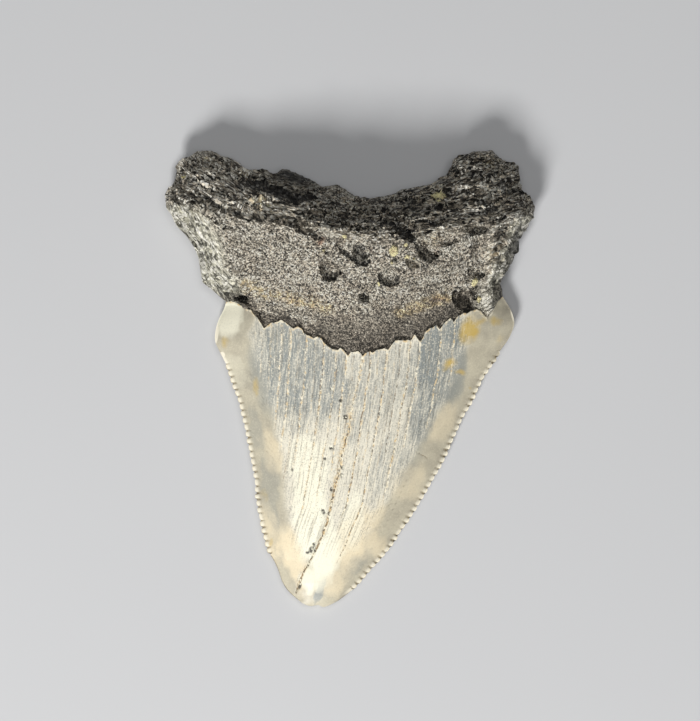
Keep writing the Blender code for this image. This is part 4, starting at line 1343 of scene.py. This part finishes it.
def crown_ground(board, clouds, colours, place, noises):
    """Cloudy margins and the cream middle, with warm, slate and white patches drawn out in stripes."""
    striped, slate, white = (board.mask(name) for name in ("striped", "slate", "white"))
    colour = board.blend(clouding(board, clouds, place, 2.2, 0.36, 0.64), colours.tan, colours.dun)
    warm_clouds = clouding(board, clouds, place, 1.6, 0.3, 0.6)
    warm = board.times(board.mask("warm"), board.span(warm_clouds, 0, 1, 0.6, 1))
    colour = board.blend(striped, colour, colours.cream)
    colour = board.blend(warm, colour, colours.peach)

    swing = board.plus(board.span(noises.broad, 0.35, 0.65, -0.24, 0.24),
                       board.span(noises.fine, 0.35, 0.65, -0.16, 0.16))
    swing = board.times(swing, striped)
    bluish = board.times(board.plus(slate, swing), board.span(slate, 0.0, 0.3))
    bright = board.math("SUBTRACT", white, board.times(swing, 0.7))
    bright = board.times(bright, board.span(white, 0.0, 0.3))
    colour = board.over(colour, (
        (bluish, 0.0, 1.0, 1.0, colours.slate),
        (bright, 0.05, 0.9, 1.0, colours.white),
    ))
    return board.blend(board.times(warm, 0.35), colour, colours.peach)


def crown_lines(board, colours, colour, noises):
    """Hair lines along the crown, dark and pale, and a stipple over all of it."""
    striped, white = board.mask("striped"), board.mask("white")
    hairline = board.noise(board.stretched(noises.run, (1.0, 0.035, 0)), 4.2, 1.0, 0.5)
    long = board.times(board.span(hairline, 0.57, 0.63), board.span(noises.dots, 0.34, 0.52, 0.5, 1.0),
                       board.span(white, 0.0, 0.6, 0.3, 0.5), striped)
    dark = board.times(board.span(noises.fine, 0.52, 0.66), board.span(noises.dots, 0.38, 0.56), striped,
                       board.span(white, 0, 1, 0.7, 0.18))
    pale = board.times(board.span(noises.fine, 0.47, 0.34), board.span(noises.dots, 0.42, 0.58), striped,
                       0.55)
    grainy = board.span(striped, 0, 1, 0.3, 1.0)
    darker = board.times(board.span(noises.stipple, 0.46, 0.32, 0, 0.5), grainy)
    paler = board.times(board.span(noises.stipple, 0.54, 0.68, 0, 0.6), grainy)
    for factor, paint in ((long, colours.hairline), (dark, colours.grey), (pale, colours.seam),
                          (darker, colours.grey), (paler, colours.seam)):
        colour = board.blend(factor, colour, paint)
    return colour


def crown_marks(board, clouds, colours, colour, place, noises, grains):
    """Iron stains, the cracks with their dirt, grains in the pits, the pale serrations, and painted
    highlights along the shoulders' edges and the enamel's upper edge.
    """
    stained = clouding(board, clouds, place, 0.9, 0.3, 0.6)
    ochre = board.times(board.mask("ochre"), board.span(stained, 0, 1, 0.45, 1.0))
    seam_colour = board.blend(board.span(noises.dirt, 0.45, 0.6), colours.seam, colours.amber)
    breaks = board.noise(board.stretched(place, (1.0, 0.4, 1)), 1.3, 3.0, 0.7)
    seam = board.times(board.mask("seam"), board.span(noises.dash, 0.42, 0.58, 0.05, 1.0),
                       board.span(breaks, 0.36, 0.5, 0.35, 1.0))
    colour = board.over(colour, (
        (ochre, 0.15, 0.9, 0.85, colours.ochre),
        (seam, 0.05, 0.6, 0.95, seam_colour),
    ))
    blots = board.span(board.noise(place, 3.8, 3.0, 0.7), 0.46, 0.58)
    colour = board.blend(board.times(board.mask("stain"), blots, 0.8), colour, colours.amber)
    ashes = board.span(noises.stipple, 0.48, 0.6)
    colour = board.blend(board.times(board.mask("ashy"), ashes, 0.5), colour, colours.grey)

    broken = board.times(board.mask("crack"), board.span(noises.dash, 0.54, 0.46, 0.04, 1.0))
    earth = board.blend(board.span(noises.dirt, 0.46, 0.6), colours.crack, colours.earth)
    mineral = board.blend(board.span(grains["Tone"], 0.6, 0.9), colours.pit, colours.white)
    return board.over(colour, (
        (broken, 0.05, 0.55, 0.92, earth),
        (board.mask("pit"), 0.1, 0.5, 0.9, mineral),
        (board.mask("bead"), 0.2, 0.8, 0.85, colours.bead),
        # Painted highlight on the enamel's upper edge, over its cream colour.
        (board.mask("lip"), 0.3, 0.6, 0.9, seam_colour),
        # Painted highlights along the shoulders' edges, in the serrations' pale colour.
        (board.mask("shoulder"), 0.4, 0.6, 0.9, colours.bead),
        (board.mask("notch"), 0.15, 0.7, 0.8, colours.notch),
    ))


def enamel_material(grit, clouds):
    """Glossy old enamel: slate and cream stripes, tan margins, ochre stains and cream-edged cracks."""
    colours = bpy.context.scene.tooth_crown
    material, board, shader, place = new_material("fossil_enamel")
    noises = CrownNoises(board, place)
    grains = grains_of(board, grit, place, 5.5)
    colour = crown_ground(board, clouds, colours, place, noises)
    colour = crown_lines(board, colours, colour, noises)
    colour = crown_marks(board, clouds, colours, colour, place, noises, grains)
    board.feed(shader.inputs["Base Color"], colour)

    pit = board.mask("pit")
    scuffs = board.span(clouding(board, clouds, place, 0.8, 0.3, 0.7), 0, 1, 0.4, 0.54)
    worn = board.math("MAXIMUM", pit, board.mask("crack"))
    board.feed(shader.inputs["Roughness"], board.plus(scuffs, board.times(worn, 0.4)))
    lines = board.times(noises.fine, board.mask("striped"), 0.9)
    height = board.plus(lines, board.times(noises.stipple, 0.25))
    height = board.plus(height, board.times(pit, grains["Height"]))
    bump = board.node("ShaderNodeBump", {"Strength": 0.7, "Distance": ENAMEL_BUMP, "Height": height})
    board.feed(shader.inputs["Normal"], bump.outputs["Normal"])
    return material


def bone_grains(board, grit, clouds, place, layered, flank):
    """Tone, gaps and height of the bone's grains: even, lumpy in the saddle, drawn out along the layers."""
    run, side_run = board.vector("run"), board.vector("side_run")
    even_grains, lumps = grains_of(board, grit, place, 7.0), grains_of(board, grit, place, 4.4)
    layers = grains_of(board, grit, board.stretched(run, (0.4, 1.45, 0.6)), 5.8)
    sides = grains_of(board, grit, board.stretched(side_run, (0.5, 1.3, 0.5)), 6.0)
    lumpy = board.times(clouding(board, clouds, place, 0.7, 0.49, 0.51), board.mask("saddle"), layered)
    drawn_out = board.times(layered, board.math("SUBTRACT", 1.0, lumpy))
    found = []
    for name in ("Tone", "Gaps", "Height"):
        plain = board.blend(lumpy, even_grains[name], lumps[name])
        found.append(board.blend(flank, board.blend(drawn_out, plain, layers[name]), sides[name]))
    return found


def bone_ground(board, clouds, colours, place, ochre):
    """Colours of the root's areas, before the grain."""
    masks = {name: board.mask(name) for name in ("flank", "dark", "band", "shade", "rust", "clast")}
    colour = board.blend(clouding(board, clouds, place, 1.5, 0.35, 0.65), colours.bone, colours.brown)
    for factor, paint in (
        (masks["flank"], colours.flank),
        (board.times(masks["dark"], 0.9), colours.basal),
        (board.times(masks["band"], 0.8), colours.band),
        # Painted shade on the shaded sides of the layers.
        (board.span(masks["shade"], 0.1, 0.5, 0.5, 0.0), colours.layer_shade),
        (ochre, colours.ochre),
        (board.times(masks["rust"], 0.7), colours.rust),
        (board.times(masks["clast"], 0.9), colours.clast),
    ):
        colour = board.blend(factor, colour, paint)
    return colour


def bone_sparkle(board, colours, colour, tone, gaps, calm, layered, flank, dark):
    """The colour with its own lightness for each grain, dark gaps between grains and a few glints."""
    least = board.span(calm, 0, 1, 0.05, 0.5)
    most = board.times(layered, board.span(flank, 0, 1, 1.6, 0.2))
    # On the dark basal face the lightest grains are made far lighter still: painted glints.
    most = board.plus(board.plus(board.span(calm, 0, 1, 3.7, 2.2), most), board.times(dark, 5.0))
    sparse = board.math("POWER", tone, board.span(dark, 0, 1, 1.6, 2.9))
    light = board.times(board.span(sparse, 0, 1, least, most), board.span(gaps, 0, 1, 1.0, 0.35))
    scaled = board.node("ShaderNodeVectorMath", {0: colour, "Scale": light}, operation="SCALE")
    limited = board.node("ShaderNodeVectorMath", {0: scaled.outputs["Vector"], 1: BRIGHTEST},
                         operation="MINIMUM")
    glint = board.times(board.span(tone, 0.78, 0.95), board.span(dark, 0, 1, 0.2, 0.6))
    return board.blend(glint, limited.outputs["Vector"], colours.speck)


def bone_marks(board, colours, colour, tone, layered, flank, dark):
    """Painted shade in the splits between the layers, painted shadows, hollows painted dark as shade,
    mineral lumps and the pale thread.
    """
    # Dark broken lines along the layers: painted shade in the splits between them.
    split_shade = board.noise(board.stretched(board.vector("run"), (0.25, 1.6, 0.3)), 2.0, 5.0, 0.65)
    split_shade = board.times(board.span(split_shade, 0.54, 0.59), layered, board.span(flank, 0, 1, 0.9, 0.2),
                         board.span(dark, 0, 1, 0.8, 1.0))
    colour = board.blend(split_shade, colour, colours.hollow)
    # Painted shadows over the parts of the root that lie in shade.
    colour = board.blend(board.times(board.mask("shadow"), 0.8), colour, colours.hollow)
    # Painted shade in the hollows and clefts, with the lightest grains left showing.
    hollow_shade = board.plus(board.mask("hollow"), board.span(tone, 0, 1, 0.22, -0.45))
    lump = board.plus(board.mask("grain"), board.span(tone, 0, 1, -0.15, 0.1))
    nugget = board.blend(board.span(tone, 0.0, 0.55), colours.ochre, colours.grain)
    return board.over(colour, (
        (hollow_shade, 0.2, 0.8, 0.9, colours.hollow),
        (lump, 0.15, 0.35, 0.92, nugget),
        (board.mask("thread"), 0.3, 0.8, 0.8, colours.clast),
    ))


def bone_material(grit, clouds):
    """Stony bone: dark and speckled, layered on the lobes, browner and smoother near the enamel."""
    colours = bpy.context.scene.tooth_root
    material, board, shader, place = new_material("fossil_bone")
    layered, flank, band, dark = (board.mask(name) for name in ("layered", "flank", "band", "dark"))
    tone, gaps, height = bone_grains(board, grit, clouds, place, layered, flank)
    stained = board.span(clouding(board, clouds, place, 0.5, 0.35, 0.6), 0, 1, 0.25, 0.95)
    ochre = board.times(board.mask("ochre"), stained)
    calm = board.math("MAXIMUM", board.times(band, 0.6), ochre)
    calm = board.math("MAXIMUM", calm, board.times(flank, 0.3))
    colour = bone_ground(board, clouds, colours, place, ochre)
    colour = bone_sparkle(board, colours, colour, tone, gaps, calm, layered, flank, dark)
    colour = bone_marks(board, colours, colour, tone, layered, flank, dark)
    board.feed(shader.inputs["Base Color"], colour)

    board.feed(shader.inputs["Roughness"], board.span(tone, 0.5, 1, 0.65, 0.38))
    facets = board.span(dark, 0, 1, *BONE_BUMP)
    bump = board.node("ShaderNodeBump", {"Strength": 0.9, "Distance": facets, "Height": height})
    board.feed(shader.inputs["Normal"], bump.outputs["Normal"])
    return material


# ---------------------------------------------------------------- stage

# Place, side and colour of the two lights, which both face the middle of the floor.
KEY_LIGHT = ((-0.16, -0.40, 0.36), 0.15, (1.0, 0.99, 0.975))
FILL_LIGHT = ((0.05, 0.1, 0.7), 0.4, (1.0, 1.0, 1.0))
WORLD_STRENGTH = 0.1
# Lightness of the floor's darker mottles.
MOTTLE = 0.97
# Height of the tooth's rim, which the camera's distance is measured from, and the camera's sensor and reach.
CAMERA_BASE = 1.5 * MM
SENSOR = 36.0
CAMERA_REACH = 10.0
# Steepest angle between faces that still look smooth, in degrees.
CROWN_SMOOTH = 48
ROOT_SMOOTH = 65


def stage_material(name, colour):
    """Matt card with a very faint mottle."""
    material, board, shader, place = new_material(name)
    mottle = board.noise(place, 0.02, 2.0, 0.5)
    darker = tuple(MOTTLE * c for c in colour)
    board.feed(shader.inputs["Base Color"], board.blend(mottle, colour, darker))
    shader.inputs["Roughness"].default_value = 0.9
    return material


def add_area(name, power, place, size, colour):
    """A square soft light, turned to the middle of the floor."""
    light = bpy.data.lights.new(name, "AREA")
    light.shape = "SQUARE"
    light.size = size
    light.energy = power
    light.color = colour
    lamp = bpy.data.objects.new(name, light)
    lamp.location = place
    lamp.rotation_euler = (-Vector(place)).to_track_quat("-Z", "Y").to_euler()
    bpy.context.scene.collection.objects.link(lamp)
    return lamp


# ---------------------------------------------------------------- settings


def length(name, description, default, highest):
    return FloatProperty(name=name, description=description, default=default, min=0.0, max=highest,
                         subtype="DISTANCE", unit="LENGTH", precision=5)


def paint(name, description, *default):
    return FloatVectorProperty(name=name, description=description, default=srgb(*default), size=3,
                               min=0.0, max=1.0, subtype="COLOR")


class CrownSettings(bpy.types.PropertyGroup):
    """Sizes and colours of the enamel."""

    serration_height: length("Serration height", "How far a serration stands out", 0.24 * MM, 0.001)
    crack_depth: length("Crack depth", "Depth of the cracks along the enamel", 0.09 * MM, 0.001)
    tan: paint("Tan", "Smooth margins", 198, 191, 169)
    dun: paint("Dun", "Greyer clouds of the margins", 178, 171, 152)
    peach: paint("Peach", "Warm clouds low on the blade", 236, 221, 188)
    cream: paint("Cream", "Striped middle of the crown", 226, 221, 204)
    slate: paint("Slate", "Blue-grey stripes", 133, 140, 140)
    white: paint("White", "Brightest enamel, low on the blade", 249, 246, 224)
    grey: paint("Grey", "Hair lines", 132, 130, 120)
    amber: paint("Amber", "Stained edges of the cracks", 222, 196, 148)
    ochre: paint("Ochre", "Iron stains", 204, 174, 88)
    seam: paint("Seam", "Pale edges of the cracks", 246, 238, 214)
    hairline: paint("Hairline", "Fine dark lines along the crown", 122, 114, 98)
    crack: paint("Crack", "Dirt in the cracks", 84, 72, 54)
    earth: paint("Earth", "Browner dirt in the cracks", 138, 110, 76)
    # The bead colour also paints the highlights along the shoulders' edges.
    pit: paint("Pit", "Dirt in the small pits", 62, 60, 54)
    bead: paint("Bead", "Tips of the serrations", 244, 237, 216)
    notch: paint("Notch", "Dirt between the serrations", 116, 98, 64)


class RootSettings(bpy.types.PropertyGroup):
    """Sizes and colours of the bone."""

    layer_height: length("Layer height", "Height of the fine layers", 0.2 * MM, 0.002)
    slab_height: length("Slab height", "Height of the broken edges of the layers", 0.6 * MM, 0.002)
    granule_height: length("Granule height", "Height of the granules", 0.1 * MM, 0.001)
    bone: paint("Bone", "Middle of the root", 186, 179, 164)
    brown: paint("Brown", "Browner patches", 168, 158, 142)
    flank: paint("Flank", "Greenish sides", 222, 219, 200)
    basal: paint("Basal", "Basal face and lobes", 162, 152, 135)
    band: paint("Band", "Smooth band beside the enamel", 98, 91, 81)
    # Painted shade for the shaded sides of the layers.
    layer_shade: paint("Pore", "Shaded sides of the layers", 40, 37, 33)
    speck: paint("Speck", "Glinting grains", 216, 208, 192)
    ochre: paint("Ochre", "Streaks above the band", 212, 190, 148)
    rust: paint("Rust", "Red-brown stains", 118, 74, 48)
    clast: paint("Clast", "Sandy lump at the right shoulder", 228, 224, 208)
    # Near-black paint for the painted shade in pits, clefts, splits between layers and shadowed parts.
    hollow: paint("Hollow", "Dirt in pits and clefts", 24, 23, 22)
    grain: paint("Grain", "Yellow mineral grains", 255, 246, 190)


class StageSettings(bpy.types.PropertyGroup):
    """Floor, lights and camera."""

    floor_size: length("Floor size", "Side of the square floor", 1.6, 10.0)
    floor_colour: paint("Floor colour", "Pale card that the tooth lies on", 203, 204, 206)
    key_power: FloatProperty(name="Key power", description="Light from the tip's side", default=3.2,
                             min=0.0, unit="POWER")
    fill_power: FloatProperty(name="Fill power", description="Light from above", default=1.5, min=0.0,
                              unit="POWER")
    camera_height: length("Camera height", "Height above the tooth", 0.8, 5.0)
    view_height: length("View height", "Height of the view at the tooth's rim", 79.31 * MM, 1.0)
    view_x: FloatProperty(name="View X", description="Middle of the view", default=0.0, unit="LENGTH")
    view_y: FloatProperty(name="View Y", description="Middle of the view", default=2.01 * MM,
                          unit="LENGTH")


# ---------------------------------------------------------------- operators


class TOOTH_OT_crown(bpy.types.Operator):
    """Build the enamel of the crown"""

    bl_idname = "tooth.crown"
    bl_label = "Enamel"

    def execute(self, context):
        piece = make_shell("enamel", make_crown(Form()), CROWN_SMOOTH)
        piece.data.materials.append(enamel_material(*shared_groups()))
        seat(piece)
        return {"FINISHED"}


class TOOTH_OT_root(bpy.types.Operator):
    """Build the bone of the root"""

    bl_idname = "tooth.root"
    bl_label = "Root"

    def execute(self, context):
        piece = make_shell("root_bone", make_root(Form()), ROOT_SMOOTH)
        piece.data.materials.append(bone_material(*shared_groups()))
        seat(piece)
        return {"FINISHED"}


class TOOTH_OT_stage(bpy.types.Operator):
    """Lay the floor and set up the lights and the camera"""

    bl_idname = "tooth.stage"
    bl_label = "Stage"

    def execute(self, context):
        stage = context.scene.tooth_stage
        bpy.ops.object.select_all(action="DESELECT")
        bpy.ops.mesh.primitive_plane_add(size=stage.floor_size, location=(0, 0, 0))
        floor = context.object
        floor.name = "floor"
        floor.data.materials.append(stage_material("floor_card", tuple(stage.floor_colour)))

        add_area("key", stage.key_power, *KEY_LIGHT)
        add_area("fill", stage.fill_power, *FILL_LIGHT)
        world = bpy.data.worlds.new("studio")
        world.use_nodes = True
        sky = world.node_tree.nodes["Background"].inputs
        sky["Color"].default_value = (1, 1, 1, 1)
        sky["Strength"].default_value = WORLD_STRENGTH
        context.scene.world = world
        context.scene.view_settings.view_transform = "Standard"

        camera = bpy.data.objects.new("camera", bpy.data.cameras.new("camera"))
        camera.location = (stage.view_x, stage.view_y, CAMERA_BASE + stage.camera_height)
        camera.data.sensor_width = SENSOR
        camera.data.lens = camera.data.sensor_width * stage.camera_height / stage.view_height
        camera.data.clip_end = CAMERA_REACH
        context.scene.collection.objects.link(camera)
        context.scene.camera = camera
        return {"FINISHED"}


class TOOTH_PT_panel(bpy.types.Panel):
    """Lists the builders of the fossil tooth"""

    bl_idname = "TOOTH_PT_panel"
    bl_label = "Fossil tooth"
    bl_space_type = "VIEW_3D"
    bl_region_type = "UI"
    bl_category = "Fossil"

    def draw(self, context):
        for builder, settings in STEPS:
            column = self.layout.column(align=True)
            column.operator(builder.bl_idname)
            group = getattr(context.scene, settings)
            for name in group.__annotations__:
                column.prop(group, name)


def shared_groups():
    """The node groups that both materials use, made once."""
    made = [bpy.data.node_groups.get(name) for name in ("Mineral grit", "Clouding")]
    return [made[0] or grit_group(), made[1] or clouds_group()]


STEPS = (
    (TOOTH_OT_crown, "tooth_crown"),
    (TOOTH_OT_root, "tooth_root"),
    (TOOTH_OT_stage, "tooth_stage"),
)
SETTINGS = {"tooth_crown": CrownSettings, "tooth_root": RootSettings, "tooth_stage": StageSettings}


def register():
    for name, settings in SETTINGS.items():
        bpy.utils.register_class(settings)
        setattr(bpy.types.Scene, name, PointerProperty(type=settings))
    for builder, _ in STEPS:
        bpy.utils.register_class(builder)
    bpy.utils.register_class(TOOTH_PT_panel)


def unregister():
    bpy.utils.unregister_class(TOOTH_PT_panel)
    for builder, _ in STEPS:
        bpy.utils.unregister_class(builder)
    for name, settings in SETTINGS.items():
        delattr(bpy.types.Scene, name)
        bpy.utils.unregister_class(settings)


def main():
    for name in ("Cube", "Light", "Camera"):
        if name in bpy.data.objects:
            bpy.data.objects.remove(bpy.data.objects[name])
    register()
    bpy.ops.tooth.crown()
    bpy.ops.tooth.root()
    bpy.ops.tooth.stage()


if __name__ == "__main__":
    main()
